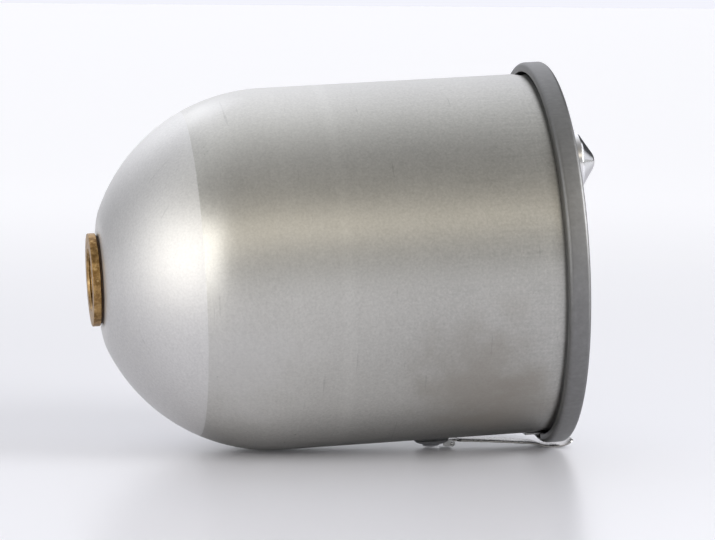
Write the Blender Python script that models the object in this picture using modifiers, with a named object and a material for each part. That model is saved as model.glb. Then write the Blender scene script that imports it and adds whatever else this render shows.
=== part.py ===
# Air filter housing for a small engine, in metres, with +Z up and its axis along X.
# A bullet-shaped sheet-steel cup holds a filter element between two support discs.
# The brass outlet bush is at the dome's apex, towards -X. The mouth at +X is closed by a
# cover with air windows, a rotary choke shutter and a knob, and one hinged spring clip holds it.
# Distances along the axis are counted from the outer face of the outlet bush.
from math import asin, cos, pi, radians, sin, sqrt, tan, tau

import bmesh
import bpy

GAP = 0.0003                    # clearance between pieces that touch
STEPS = 48                      # facets round a large turned piece
MID_STEPS = 32                  # round an inner disc, washer or the bush
SMALL_STEPS = 20                # round a small piece

# Cup: a cylinder and a hemisphere of one radius, flattened where the bush is seated
BODY_RADIUS = 0.0500
SHEET = 0.0010
DOME_CENTRE = 0.0499
SEAT = 0.0028
SEAT_FILLET = 0.0150
BODY_END = 0.1264
OUTLET_HOLE_RADIUS = 0.0108

# Outlet bush and the stack that clamps it
BUSH_FLANGE_RADIUS = 0.0128
BUSH_FLANGE = 0.0021
BUSH_SHANK_RADIUS = 0.0104
BUSH_END = 0.0132
BUSH_BORE_RADIUS = 0.0082
BUSH_CHAMFER = 0.0006
OUTLET_WASHER_RADIUS = 0.0121
OUTLET_WASHER = 0.0004
OUTLET_WASHER_GAP = 0.00015
CLAMP_WASHER_RADIUS = 0.0134
SEAL_WASHER = 0.0008
LOCK_WASHER = 0.0007
LOCKNUT_FLATS = 0.0260
LOCKNUT = 0.0050

# Filter stack, from the dome to the mouth
DISC_RADIUS = 0.0482
DISC = 0.0010
DISC_MIDDLE_HOLE = 0.0120
DISC_HOLE = 0.0112
DISC_HOLE_CENTRES = 0.0315
DISC_HOLES = 7
SCREEN_RADIUS = 0.0481
SCREEN = 0.0006
ELEMENT_RADIUS = 0.0475
ELEMENT = 0.0600
REAR_DISC_START = 0.0450
RETAINING_WIRE_RADIUS = 0.0010
RETAINING_RING_RADIUS = 0.0474
RETAINING_RING_OPENING = radians(34)

# Cover: a flat face, a skirt over the cup and a hem turned in against it
COVER_RADIUS = 0.0531
COVER_BACK = 0.1232
COVER_FRONT = 0.1290
COVER_CORNER = 0.0014
HEM_CORNER = 0.0008
HEM_RADIUS = 0.0506
WINDOW_COUNT = 4
WINDOW_INNER = 0.0130
WINDOW_OUTER = 0.0400
WINDOW_HALF_ANGLE = radians(20)
GASKET_INNER = 0.0482
GASKET_OUTER = 0.0514
GASKET = 0.0010
INLET_SCREEN_RADIUS = 0.0414
INLET_SCREEN_HOLE = 0.0062
INLET_SCREEN = 0.0005

# Choke shutter, its pivot, stop and knob
SHUTTER_RADIUS = 0.0430
SHUTTER = 0.0008
SHUTTER_TURN = radians(45)
STOP_PIN_ANGLE = radians(270)
STOP_PIN_CENTRE = 0.0434
STOP_PIN_RADIUS = 0.0012
STOP_PIN_PROUD = 0.0007
STOP_PIN_HEAD_RADIUS = 0.0020
STOP_PIN_HEAD = 0.0006
PIVOT_RADIUS = 0.0025
PIVOT_HEAD_RADIUS = 0.0050
PIVOT_HEAD = 0.0014
PIVOT_WASHER_RADIUS = 0.0055
PIVOT_WASHER = 0.0005
SPRING_WASHER = 0.0006
PIVOT_END = 0.0008              # bolt past its nut
PIVOT_NUT_FLATS = 0.0080
PIVOT_NUT = 0.0028
KNOB_CENTRE = 0.0246
KNOB_RADIUS = 0.0082
KNOB_NECK_RADIUS = 0.0042
KNOB_TIP = 0.1426
KNOB_NOSE = 0.0045
KNOB_FLANK = radians(34)        # from a plane across the axis
KNOB_RIVET_RADIUS = 0.0016
KNOB_RIVET_DEPTH = 0.0060

# Tongue that holds the cover's edge opposite the clip
TONGUE_WIDTH = 0.0100
TONGUE_RADIUS = 0.0473
TONGUE_START = 0.1160
TONGUE_SHEET = 0.0006
TONGUE_RIVET_CENTRE = 0.0450
TONGUE_RIVET_RADIUS = 0.0010
TONGUE_RIVET_HEAD_RADIUS = 0.0016
TONGUE_BEND = 0.0008

# Spring clip below the cup: heights are counted from the housing's axis
LEAF_WIDTH = 0.0090
LEAF = 0.00044
LEAF_LOWEST = -0.05438
EYE_CENTRE = (0.0980, -0.05160)
EYE_RADIUS = 0.00065            # to the middle of the rolled leaf
EYE_WIDTH = 0.0054
PIN_RADIUS = 0.00035
PIN_LENGTH = 0.0076
EAR = 0.0006
EAR_RADIUS = 0.00085
BRACKET_CENTRE = 0.0932
BRACKET_RADIUS = 0.0052
BRACKET_TOP = -0.0503
BRACKET_BOTTOM = -0.0516
CLIP_RIVET_CENTRE = 0.0926
CLIP_RIVET_RADIUS = 0.0012
CLIP_RIVET_HEAD_RADIUS = 0.0025
CLIP_RIVET_HEAD = 0.0006
LUG_WIDTH = 0.0050
LUG_SHEET = 0.0005
LUG_START = 0.1190
LUG_FACE = 0.1245
LUG_BEND = 0.0008
LUG_BOTTOM = -0.0518

AXIS_HEIGHT = LEAF / 2 - LEAF_LOWEST
ALONG_AXIS = (pi / 2, 0, pi / 2)        # local X, Y, Z become world Y, Z, X
SIDE_ON = (pi / 2, 0, 0)                # local X, Y, Z become world X, Z, -Y
ORIGIN = (-KNOB_TIP / 2, 0, AXIS_HEIGHT)


def start_scene():
    for old in list(bpy.data.objects):
        bpy.data.objects.remove(old)
    parts = bpy.data.collections.new("air_filter_housing")
    cutters = bpy.data.collections.new("cutters")
    bpy.context.scene.collection.children.link(parts)
    bpy.context.scene.collection.children.link(cutters)
    cutters.hide_render = True
    return parts, cutters


PARTS, CUTTERS = start_scene()


def material(name, colour, roughness, metallic):
    made = bpy.data.materials.new(name)
    made.use_nodes = True
    shader = made.node_tree.nodes["Principled BSDF"]
    shader.inputs["Base Color"].default_value = (*colour, 1)
    shader.inputs["Roughness"].default_value = roughness
    shader.inputs["Metallic"].default_value = metallic
    return made


def place(name, data, turn, finish=None):
    """A part where it has a finish, and otherwise a cutter."""
    made = bpy.data.objects.new(name, data)
    made.location = ORIGIN
    made.rotation_euler = turn
    if finish:
        data.materials.append(finish)
        PARTS.objects.link(made)
    else:
        made.hide_render = True
        made.display_type = "WIRE"
        CUTTERS.objects.link(made)
    return made


def turned(name, outline, steps, finish=None, along=(0, 0)):
    """A turned solid. The outline is (distance, radius) points that run down its outer side."""
    mesh = bpy.data.meshes.new(name)
    points = [(radius, 0, distance) for distance, radius in outline]
    edges = [(i, i + 1) for i in range(len(points) - 1)]
    if outline[0][1] > 0:
        edges.append((len(points) - 1, 0))
    mesh.from_pydata(points, edges, [])
    made = place(name, mesh, ALONG_AXIS, finish)
    made.location.y += along[0]
    made.location.z += along[1]
    screw = made.modifiers.new("turn", "SCREW")
    screw.axis = "Z"
    screw.angle = tau
    screw.steps = steps
    screw.render_steps = steps
    screw.use_merge_vertices = True
    screw.merge_threshold = 0.00001
    return made


def ring(name, start, thickness, inner, outer, steps, finish=None, along=(0, 0)):
    """A washer, or a whole disc where its inner radius is 0."""
    end = start + thickness
    outline = [(end, inner), (end, outer), (start, outer), (start, inner)]
    return turned(name, outline, steps, finish, along)


def mesh_of(curve_object):
    """The curve's mesh with its caps welded on, in an object that takes the curve's place."""
    bpy.context.view_layer.update()
    graph = bpy.context.evaluated_depsgraph_get()
    mesh = bpy.data.meshes.new_from_object(curve_object.evaluated_get(graph))
    shape = bmesh.new()
    shape.from_mesh(mesh)
    bmesh.ops.remove_doubles(shape, verts=shape.verts, dist=0.000001)
    bmesh.ops.recalc_face_normals(shape, faces=shape.faces)
    shape.to_mesh(mesh)
    shape.free()
    name = curve_object.name
    made = bpy.data.objects.new(name + "_mesh", mesh)
    made.matrix_world = curve_object.matrix_world
    made.hide_render = curve_object.hide_render
    made.display_type = curve_object.display_type
    curve_object.users_collection[0].objects.link(made)
    bpy.data.objects.remove(curve_object)
    made.name = name
    return made


def curve_of(name, loops, closed, half_height):
    curve = bpy.data.curves.new(name, "CURVE")
    curve.dimensions = "2D" if closed else "3D"
    curve.fill_mode = "BOTH" if closed else "FULL"
    curve.extrude = half_height
    for loop in loops:
        spline = curve.splines.new("POLY")
        spline.points.add(len(loop) - 1)
        for point, (x, y) in zip(spline.points, loop):
            point.co = (x, y, 0, 1)
        spline.use_cyclic_u = closed
    return curve


def plate(name, start, thickness, loops, finish=None):
    """A flat plate across the axis: the first loop is its outline and the others are its holes."""
    made = place(name, curve_of(name, loops, True, thickness / 2), ALONG_AXIS, finish)
    made.location.x += start + thickness / 2
    return mesh_of(made)


def strip(name, centreline, width, thickness, finish):
    """A bent sheet strip. Its centreline is (distance, height) points in the plane Y = 0."""
    made = mesh_of(place(name, curve_of(name, [centreline], False, width / 2), SIDE_ON, finish))
    wall = made.modifiers.new("thickness", "SOLIDIFY")
    wall.thickness = thickness
    wall.offset = 0
    wall.use_even_offset = True
    return made


def box(name, low, high, finish=None):
    """A box between two corners, as (distance, across, height from the axis)."""
    mesh = bpy.data.meshes.new(name)
    shape = bmesh.new()
    bmesh.ops.create_cube(shape, size=1)
    middle = [(a + b) / 2 for a, b in zip(low, high)]
    size = [b - a for a, b in zip(low, high)]
    for vert in shape.verts:
        vert.co = [m + s * c for m, s, c in zip(middle, size, vert.co)]
    shape.to_mesh(mesh)
    shape.free()
    return place(name, mesh, (0, 0, 0), finish)


def rod(name, centre, half_length, radius, turn, steps=SMALL_STEPS, finish=None):
    """A cylinder at (distance, across, height). Its own Z axis is turned by the rotation given."""
    mesh = bpy.data.meshes.new(name)
    shape = bmesh.new()
    bmesh.ops.create_cone(
        shape, cap_ends=True, segments=steps, radius1=radius, radius2=radius, depth=2 * half_length
    )
    shape.to_mesh(mesh)
    shape.free()
    made = place(name, mesh, turn, finish)
    made.location = [a + b for a, b in zip(ORIGIN, centre)]
    return made


def combine(target, operation, *others):
    for other in others:
        boolean = target.modifiers.new(other.name, "BOOLEAN")
        boolean.operation = operation
        boolean.solver = "EXACT"
        boolean.object = other


def circle(radius, count, centre=(0, 0)):
    turns = [tau * i / count for i in range(count)]
    return [(centre[0] + radius * cos(t), centre[1] + radius * sin(t)) for t in turns]


def arc(centre, radius, first, last, count):
    """Points on an arc in the order given by its first and last angle."""
    turns = [first + (last - first) * i / count for i in range(count + 1)]
    return [(centre[0] + radius * cos(t), centre[1] + radius * sin(t)) for t in turns]


def sector(inner, outer, middle, half_angle, count=8):
    """A window between two radii, with sides that follow the radii."""
    far = arc((0, 0), outer, middle - half_angle, middle + half_angle, count)
    near = arc((0, 0), inner, middle + half_angle, middle - half_angle, count)
    return far + near


def hexagon(across_flats):
    corner = across_flats / sqrt(3)
    return circle(corner, 6)


def polar(radius, angle):
    return radius * cos(angle), radius * sin(angle)


def window_angles():
    first = pi / WINDOW_COUNT
    return [first + tau * i / WINDOW_COUNT for i in range(WINDOW_COUNT)]


def cup_side(offset, arc_steps, fillet_steps):
    """One side of the cup's sheet, from the mouth to the seat, this far inside the outer face."""
    radius = BODY_RADIUS - offset
    fillet = SEAT_FILLET - offset
    seat_radius = sqrt((BODY_RADIUS - SEAT_FILLET) ** 2 - (DOME_CENTRE - SEAT - SEAT_FILLET) ** 2)
    meeting = asin(seat_radius / (BODY_RADIUS - SEAT_FILLET))
    side = [(BODY_END, radius)]
    for i in range(arc_steps + 1):
        angle = pi / 2 + (meeting - pi / 2) * i / arc_steps
        side.append((DOME_CENTRE - radius * cos(angle), radius * sin(angle)))
    for i in range(1, fillet_steps + 1):
        angle = meeting * (1 - i / fillet_steps)
        side.append((SEAT + SEAT_FILLET - fillet * cos(angle), seat_radius + fillet * sin(angle)))
    return side


def make_shell(finish):
    outer = cup_side(0, 9, 3)
    inner = cup_side(SHEET, 9, 3)
    seat = [(SEAT, OUTLET_HOLE_RADIUS), (SEAT + SHEET, OUTLET_HOLE_RADIUS)]
    shell = turned("housing_shell", outer + seat + inner[::-1], STEPS, finish)
    hole_radius = CLIP_RIVET_RADIUS + GAP
    hole = rod("clip_rivet_hole", (CLIP_RIVET_CENTRE, 0, -BODY_RADIUS), 0.004, hole_radius, (0, 0, 0))
    combine(shell, "DIFFERENCE", hole)


def make_outlet(brass, fibre, steel):
    flange = BUSH_FLANGE_RADIUS
    edge = 0.00025
    bore = BUSH_BORE_RADIUS
    outline = [
        (BUSH_END, bore),
        (BUSH_END, BUSH_SHANK_RADIUS),
        (BUSH_FLANGE, BUSH_SHANK_RADIUS),
        (BUSH_FLANGE, flange),
        (edge, flange),
        (0, flange - edge),
        (0, bore + BUSH_CHAMFER),
        (BUSH_CHAMFER, bore),
    ]
    turned("outlet_bush", outline, 40, brass)
    hole = OUTLET_HOLE_RADIUS
    start = BUSH_FLANGE + OUTLET_WASHER_GAP
    ring("outlet_washer", start, OUTLET_WASHER, hole, OUTLET_WASHER_RADIUS, MID_STEPS, fibre)
    start = SEAT + SHEET + GAP
    ring("inner_seal_washer", start, SEAL_WASHER, hole, CLAMP_WASHER_RADIUS, MID_STEPS, fibre)
    start += SEAL_WASHER + GAP
    ring("bush_lock_washer", start, LOCK_WASHER, hole, CLAMP_WASHER_RADIUS, MID_STEPS, steel)
    start += LOCK_WASHER + GAP
    plate("bush_locknut", start, LOCKNUT, [hexagon(LOCKNUT_FLATS), circle(hole, MID_STEPS)], brass)


def support_loops():
    """A disc with a ring of large round holes round a smaller middle one."""
    centres = [polar(DISC_HOLE_CENTRES, tau * i / DISC_HOLES) for i in range(DISC_HOLES)]
    holes = [circle(DISC_HOLE, 14, centre) for centre in centres]
    return [circle(DISC_RADIUS, 40), circle(DISC_MIDDLE_HOLE, 14)] + holes


def make_filter(steel, mesh_wire, pad):
    start = REAR_DISC_START
    plate("rear_support_disc", start, DISC, support_loops(), steel)
    start += DISC + GAP
    ring("rear_screen", start, SCREEN, 0, SCREEN_RADIUS, MID_STEPS, mesh_wire)
    start += SCREEN + GAP
    ring("filter_element", start, ELEMENT, 0, ELEMENT_RADIUS, MID_STEPS, pad)
    start += ELEMENT + GAP
    ring("front_screen", start, SCREEN, 0, SCREEN_RADIUS, MID_STEPS, mesh_wire)
    start += SCREEN + GAP
    plate("front_support_disc", start, DISC, support_loops(), steel)
    make_retaining_ring(start + DISC + GAP + RETAINING_WIRE_RADIUS, steel)


def make_retaining_ring(distance, finish):
    """An open ring of round spring wire that grips the cup's wall, with its opening at the top."""
    first = pi / 2 + RETAINING_RING_OPENING / 2
    last = first + tau - RETAINING_RING_OPENING
    curve = curve_of("retaining_ring", [arc((0, 0), RETAINING_RING_RADIUS, first, last, 30)], False, 0)
    curve.bevel_depth = RETAINING_WIRE_RADIUS
    curve.bevel_resolution = 2
    curve.use_fill_caps = True
    made = place("retaining_ring", curve, ALONG_AXIS, finish)
    made.location.x += distance
    mesh_of(made)


def cover_outline():
    corner = (COVER_FRONT - COVER_CORNER, COVER_RADIUS - COVER_CORNER)
    hem = (COVER_BACK + HEM_CORNER, COVER_RADIUS - HEM_CORNER)
    hole = PIVOT_RADIUS + GAP
    inside = COVER_RADIUS - SHEET
    face = COVER_FRONT - SHEET
    inner_corner = COVER_CORNER - SHEET
    outline = [(COVER_FRONT, hole)]
    outline += arc(corner, COVER_CORNER, 0, pi / 2, 4)
    outline += arc(hem, HEM_CORNER, pi / 2, pi, 3)
    outline += [(COVER_BACK, HEM_RADIUS), (COVER_BACK + SHEET, HEM_RADIUS), (COVER_BACK + SHEET, inside)]
    outline += [(face - inner_corner, inside), (face, inside - inner_corner), (face, hole)]
    return outline


def make_cover(steel, mesh_wire, rubber):
    cover = turned("inlet_cover", cover_outline(), STEPS, steel)
    for i, angle in enumerate(window_angles()):
        loop = sector(WINDOW_INNER, WINDOW_OUTER, angle, WINDOW_HALF_ANGLE)
        combine(cover, "DIFFERENCE", plate(f"window_{i}", COVER_FRONT - 0.004, 0.007, [loop]))
    for name, radius, angle, size in (
        ("stop_pin_hole", STOP_PIN_CENTRE, STOP_PIN_ANGLE, STOP_PIN_RADIUS + GAP),
        ("tongue_rivet_hole", TONGUE_RIVET_CENTRE, pi / 2, TONGUE_RIVET_RADIUS + GAP),
    ):
        across, height = polar(radius, angle)
        hole = rod(name, (COVER_FRONT, across, height), 0.004, size, ALONG_AXIS, 16)
        combine(cover, "DIFFERENCE", hole)
    half = LUG_WIDTH / 2 + 0.0005
    inside = COVER_RADIUS - SHEET
    low = (COVER_BACK - 0.001, -half, -inside + 0.00005)
    high = (COVER_BACK + SHEET + 0.0003, half, -BODY_RADIUS)
    combine(cover, "DIFFERENCE", box("lug_notch", low, high))

    start = COVER_FRONT - SHEET - GAP - GASKET
    ring("cover_gasket", start, GASKET, GASKET_INNER, GASKET_OUTER, STEPS, rubber)
    start = COVER_FRONT - SHEET - GAP - INLET_SCREEN
    ring("inlet_screen", start, INLET_SCREEN, INLET_SCREEN_HOLE, INLET_SCREEN_RADIUS, MID_STEPS, mesh_wire)


def shutter_outline():
    """The shutter's rim, with a recess that lets it turn past the stop pin between its ends."""
    slack = asin((STOP_PIN_RADIUS + GAP) / STOP_PIN_CENTRE)
    recess = STOP_PIN_CENTRE - STOP_PIN_RADIUS - GAP
    first = STOP_PIN_ANGLE - SHUTTER_TURN - slack
    last = STOP_PIN_ANGLE + slack
    rim = arc((0, 0), SHUTTER_RADIUS, last, first + tau, 36)
    return rim + arc((0, 0), recess, first + tau, last + tau, 6)


def make_shutter(steel, polished, dark_steel):
    start = COVER_FRONT + GAP
    windows = [
        sector(WINDOW_INNER, WINDOW_OUTER, angle, WINDOW_HALF_ANGLE + radians(1))
        for angle in window_angles()
    ]
    rivet_hole = circle(KNOB_RIVET_RADIUS + GAP, 16, (0, KNOB_CENTRE))
    pivot_hole = circle(PIVOT_RADIUS + GAP, SMALL_STEPS)
    loops = [shutter_outline(), pivot_hole, rivet_hole] + windows
    plate("choke_shutter", start, SHUTTER, loops, steel)

    base = start + SHUTTER + GAP
    hole_end = base + KNOB_RIVET_DEPTH
    outline = arc((KNOB_TIP - KNOB_NOSE, 0), KNOB_NOSE, 0, KNOB_FLANK, 4)
    flank_start, flank_radius = outline[-1]
    shoulder = flank_start - (KNOB_RADIUS - 0.0004 - flank_radius) * tan(KNOB_FLANK)
    outline += [
        (shoulder, KNOB_RADIUS - 0.0004),
        (shoulder - 0.0005, KNOB_RADIUS),
        (shoulder - 0.0020, KNOB_RADIUS),
        (shoulder - 0.0026, KNOB_RADIUS - 0.0008),
        (shoulder - 0.0030, KNOB_NECK_RADIUS),
        (base, KNOB_NECK_RADIUS),
        (base, KNOB_RIVET_RADIUS + GAP),
        (hole_end, KNOB_RIVET_RADIUS + GAP),
        (hole_end, 0),
    ]
    outline[0] = (KNOB_TIP, 0)
    turned("choke_knob", outline, 24, polished, (0, KNOB_CENTRE))
    middle = (start + hole_end - GAP) / 2
    half = (hole_end - GAP - start) / 2
    rod("knob_rivet", (middle, 0, KNOB_CENTRE), half, KNOB_RIVET_RADIUS, ALONG_AXIS, 20, steel)

    hole = PIVOT_RADIUS + GAP
    ring("pivot_spring_washer", base, SPRING_WASHER, hole, PIVOT_WASHER_RADIUS, SMALL_STEPS, dark_steel)
    head = base + SPRING_WASHER + GAP
    inside = COVER_FRONT - SHEET - GAP
    nut_start = inside - PIVOT_WASHER - GAP - PIVOT_NUT
    outline = [
        (head + PIVOT_HEAD, 0),
        (head + PIVOT_HEAD * 0.9, PIVOT_HEAD_RADIUS * 0.45),
        (head + PIVOT_HEAD * 0.6, PIVOT_HEAD_RADIUS * 0.8),
        (head + PIVOT_HEAD * 0.2, PIVOT_HEAD_RADIUS),
        (head, PIVOT_HEAD_RADIUS),
        (head, PIVOT_RADIUS),
        (nut_start - PIVOT_END, PIVOT_RADIUS),
        (nut_start - PIVOT_END, 0),
    ]
    turned("pivot_bolt", outline, SMALL_STEPS, polished)
    start = inside - PIVOT_WASHER
    ring("pivot_washer", start, PIVOT_WASHER, hole, PIVOT_WASHER_RADIUS, SMALL_STEPS, steel)
    nut_loops = [hexagon(PIVOT_NUT_FLATS), circle(hole, SMALL_STEPS)]
    plate("pivot_nut", nut_start, PIVOT_NUT, nut_loops, steel)

    stop_end = COVER_FRONT + GAP + SHUTTER + STOP_PIN_PROUD
    stop = [
        (stop_end, 0),
        (stop_end, STOP_PIN_RADIUS - 0.0002),
        (stop_end - 0.0002, STOP_PIN_RADIUS),
        (inside, STOP_PIN_RADIUS),
        (inside, STOP_PIN_HEAD_RADIUS),
        (inside - STOP_PIN_HEAD, STOP_PIN_HEAD_RADIUS),
        (inside - STOP_PIN_HEAD, 0),
    ]
    turned("stop_pin", stop, 16, polished, polar(STOP_PIN_CENTRE, STOP_PIN_ANGLE))


def make_tongue(steel, polished):
    """An angled tongue inside the cover that slips along the cup's inner wall."""
    face = COVER_FRONT - SHEET - GAP - TONGUE_SHEET / 2
    corner = (face - TONGUE_BEND, TONGUE_RADIUS - TONGUE_BEND)
    foot = [(face, TONGUE_RIVET_CENTRE - 0.0026)]
    bend = arc(corner, TONGUE_BEND, 0, pi / 2, 3)
    lead_in = [(TONGUE_START + 0.0030, TONGUE_RADIUS), (TONGUE_START, TONGUE_RADIUS - 0.0012)]
    tongue = strip("cover_tongue", foot + bend + lead_in, TONGUE_WIDTH, TONGUE_SHEET, steel)
    across, height = polar(TONGUE_RIVET_CENTRE, pi / 2)
    size = TONGUE_RIVET_RADIUS + GAP
    hole = rod("tongue_hole", (face, across, height), 0.002, size, ALONG_AXIS, 16)
    combine(tongue, "DIFFERENCE", hole)
    front = COVER_FRONT + GAP
    back = face - TONGUE_SHEET / 2 - GAP
    rivet = [
        (front + 0.0006, 0),
        (front + 0.0005, TONGUE_RIVET_HEAD_RADIUS * 0.6),
        (front, TONGUE_RIVET_HEAD_RADIUS),
        (front, TONGUE_RIVET_RADIUS),
        (back, TONGUE_RIVET_RADIUS),
        (back, TONGUE_RIVET_HEAD_RADIUS),
        (back - 0.0005, 0.0012),
        (back - 0.0005, 0),
    ]
    turned("tongue_rivet", rivet, 16, polished, (across, height))


def make_bracket(steel, polished):
    middle = (BRACKET_TOP + BRACKET_BOTTOM) / 2
    half = (BRACKET_TOP - BRACKET_BOTTOM) / 2
    bracket = rod(
        "clip_bracket", (BRACKET_CENTRE, 0, middle), half, BRACKET_RADIUS, (0, 0, 0), MID_STEPS, steel
    )
    slot = EYE_CENTRE[0] - EYE_RADIUS - LEAF / 2 - GAP
    inner = EYE_WIDTH / 2 + GAP
    far = BRACKET_CENTRE + BRACKET_RADIUS + 0.002
    low = (slot, -BRACKET_RADIUS - 0.001, BRACKET_BOTTOM - 0.001)
    high = (far, BRACKET_RADIUS + 0.001, BRACKET_TOP + 0.001)
    combine(bracket, "DIFFERENCE", box("eye_room", low, high))
    for side in (-1, 1):
        across = side * (inner + EAR / 2)
        ear = rod(
            "ear", (EYE_CENTRE[0], across, EYE_CENTRE[1]), EAR / 2, EAR_RADIUS, SIDE_ON, 20
        )
        low = (slot - 0.0012, across - EAR / 2, EYE_CENTRE[1] - EAR_RADIUS * 0.7)
        high = (EYE_CENTRE[0], across + EAR / 2, BRACKET_TOP)
        combine(bracket, "UNION", box("ear_arm", low, high), ear)
    pin_size = PIN_RADIUS + 0.0001
    pin_hole = rod("pin_hole", (EYE_CENTRE[0], 0, EYE_CENTRE[1]), 0.006, pin_size, SIDE_ON, 16)
    rivet_size = CLIP_RIVET_RADIUS + GAP
    rivet_hole = rod("bracket_hole", (CLIP_RIVET_CENTRE, 0, middle), 0.002, rivet_size, (0, 0, 0))
    combine(bracket, "DIFFERENCE", pin_hole, rivet_hole)

    under = BRACKET_BOTTOM - GAP
    head = [
        (under, CLIP_RIVET_HEAD_RADIUS),
        (under - CLIP_RIVET_HEAD * 0.5, CLIP_RIVET_HEAD_RADIUS * 0.85),
        (under - CLIP_RIVET_HEAD * 0.9, CLIP_RIVET_HEAD_RADIUS * 0.45),
        (under - CLIP_RIVET_HEAD, 0),
    ]
    inside = -BODY_RADIUS + SHEET + GAP
    tail = [(inside + 0.0006, 0), (inside + 0.0006, 0.0017), (inside, 0.0020), (inside, CLIP_RIVET_RADIUS)]
    neck = [(under, CLIP_RIVET_RADIUS)]
    rivet = turned("clip_rivet", tail + neck + head, SMALL_STEPS, polished)
    rivet.rotation_euler = (0, 0, 0)
    rivet.location = (ORIGIN[0] + CLIP_RIVET_CENTRE, 0, AXIS_HEIGHT)
    rod("clip_pin", (EYE_CENTRE[0], 0, EYE_CENTRE[1]), PIN_LENGTH / 2, PIN_RADIUS, SIDE_ON, 16, polished)


def make_leaf(finish):
    """The leaf rolls round the hinge pin, dips under the cover's skirt and hooks over its front edge."""
    eye = arc(EYE_CENTRE, EYE_RADIUS, radians(-20), -radians(270), 14)
    run = [
        (0.1010, -0.05098),
        (0.1110, -0.05190),
        (0.1190, -0.05285),
        (0.1222, -0.05345),
        (0.1240, -0.05405),
        (0.1256, LEAF_LOWEST + 0.00004),
        (0.1267, LEAF_LOWEST),
        (0.1290, -0.05425),
        (0.1306, -0.05385),
        (0.1317, -0.05330),
        (0.1323, -0.05278),
    ]
    leaf = strip("clip_leaf", eye + run, LEAF_WIDTH, LEAF, finish)
    back = EYE_CENTRE[0] - 0.002
    front = EYE_CENTRE[0] + EYE_RADIUS + LEAF + GAP
    for side in (-1, 1):
        near = side * EYE_WIDTH / 2
        far = side * LEAF_WIDTH
        low = (back, min(near, far), EYE_CENTRE[1] - 0.002)
        high = (front, max(near, far), EYE_CENTRE[1] + 0.002)
        combine(leaf, "DIFFERENCE", box(f"leaf_shoulder_{side}", low, high))


def make_lug(finish):
    """A bent lug on the cup that fits a notch in the cover's hem, so that the cover can't turn."""
    top = -BODY_RADIUS - GAP - LUG_SHEET / 2
    bend = arc((LUG_FACE - LUG_BEND, top - LUG_BEND), LUG_BEND, pi / 2, 0, 3)
    run = [(LUG_START, top)] + bend + [(LUG_FACE, LUG_BOTTOM)]
    strip("locating_lug", run, LUG_WIDTH, LUG_SHEET, finish)


def main():
    body_steel = material("brushed_body", (0.50, 0.49, 0.46), 0.38, 1)
    cover_steel = material("dark_cover_steel", (0.22, 0.22, 0.23), 0.42, 1)
    spring_steel = material("spring_steel", (0.42, 0.42, 0.42), 0.30, 1)
    polished = material("polished_steel", (0.75, 0.75, 0.76), 0.12, 1)
    zinc = material("zinc_plated_steel", (0.52, 0.52, 0.52), 0.40, 1)
    brass = material("aged_brass", (0.40, 0.27, 0.12), 0.45, 1)
    fibre = material("dark_fibre", (0.05, 0.03, 0.02), 0.80, 0)
    rubber = material("black_rubber", (0.02, 0.02, 0.02), 0.70, 0)
    wire = material("woven_wire", (0.45, 0.45, 0.44), 0.45, 1)
    pad = material("oiled_wire_pad", (0.18, 0.16, 0.12), 0.55, 0)

    make_shell(body_steel)
    make_outlet(brass, fibre, zinc)
    make_filter(zinc, wire, pad)
    make_cover(cover_steel, wire, rubber)
    make_shutter(zinc, polished, spring_steel)
    make_tongue(spring_steel, polished)
    make_bracket(zinc, polished)
    make_leaf(spring_steel)
    make_lug(zinc)


main()
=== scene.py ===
# Sheet-steel air filter housing lying on its side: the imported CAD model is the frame,
# and every piece that can be seen is made finer here.
from math import asin, atan2, cos, pi, radians, sin, sqrt, tan, tau

import bmesh
import bpy
from mathutils import Matrix, Vector


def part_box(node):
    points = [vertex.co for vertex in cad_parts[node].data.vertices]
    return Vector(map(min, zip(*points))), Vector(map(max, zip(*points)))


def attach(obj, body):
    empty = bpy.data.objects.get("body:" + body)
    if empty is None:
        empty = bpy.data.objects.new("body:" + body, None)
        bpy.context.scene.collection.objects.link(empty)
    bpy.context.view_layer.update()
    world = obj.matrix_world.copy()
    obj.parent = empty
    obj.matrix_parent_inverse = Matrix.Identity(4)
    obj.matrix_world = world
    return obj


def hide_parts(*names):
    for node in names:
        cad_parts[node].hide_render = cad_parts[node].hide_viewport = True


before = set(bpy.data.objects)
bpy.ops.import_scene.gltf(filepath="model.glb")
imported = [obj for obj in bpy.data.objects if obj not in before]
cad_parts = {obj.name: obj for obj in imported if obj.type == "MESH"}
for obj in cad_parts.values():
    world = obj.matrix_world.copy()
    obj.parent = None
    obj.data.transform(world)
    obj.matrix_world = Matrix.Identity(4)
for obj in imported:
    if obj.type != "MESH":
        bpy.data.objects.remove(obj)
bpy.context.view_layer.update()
mm = 0.001


def note(text):
    print("air filter housing:", text, flush=True)


# places
# distances run along the axis from the bush's outer face towards the mouth
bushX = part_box("outlet_bush")[0].x
axisZ = sum(corner.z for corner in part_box("housing_shell")) / 2


def along(node):
    low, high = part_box(node)
    return low.x - bushX, high.x - bushX


def aroundX(distance=0.0, across=0.0, height=0.0):
    # local Z becomes the housing's axis, local X goes across and local Y goes up
    turn = Matrix(((0, 0, 1), (1, 0, 0), (0, 1, 0))).to_4x4()
    return Matrix.Translation((bushX + distance, across, axisZ + height)) @ turn


def pointingDown(distance, across=0.0):
    # local Z becomes straight down from the axis
    turn = Matrix(((1, 0, 0), (0, -1, 0), (0, 0, -1))).to_4x4()
    return Matrix.Translation((bushX + distance, across, axisZ)) @ turn


def sideways(distance, height):
    # local Z goes across, from one side to the other
    turn = Matrix(((1, 0, 0), (0, 0, 1), (0, -1, 0))).to_4x4()
    return Matrix.Translation((bushX + distance, 0, axisZ + height)) @ turn


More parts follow.
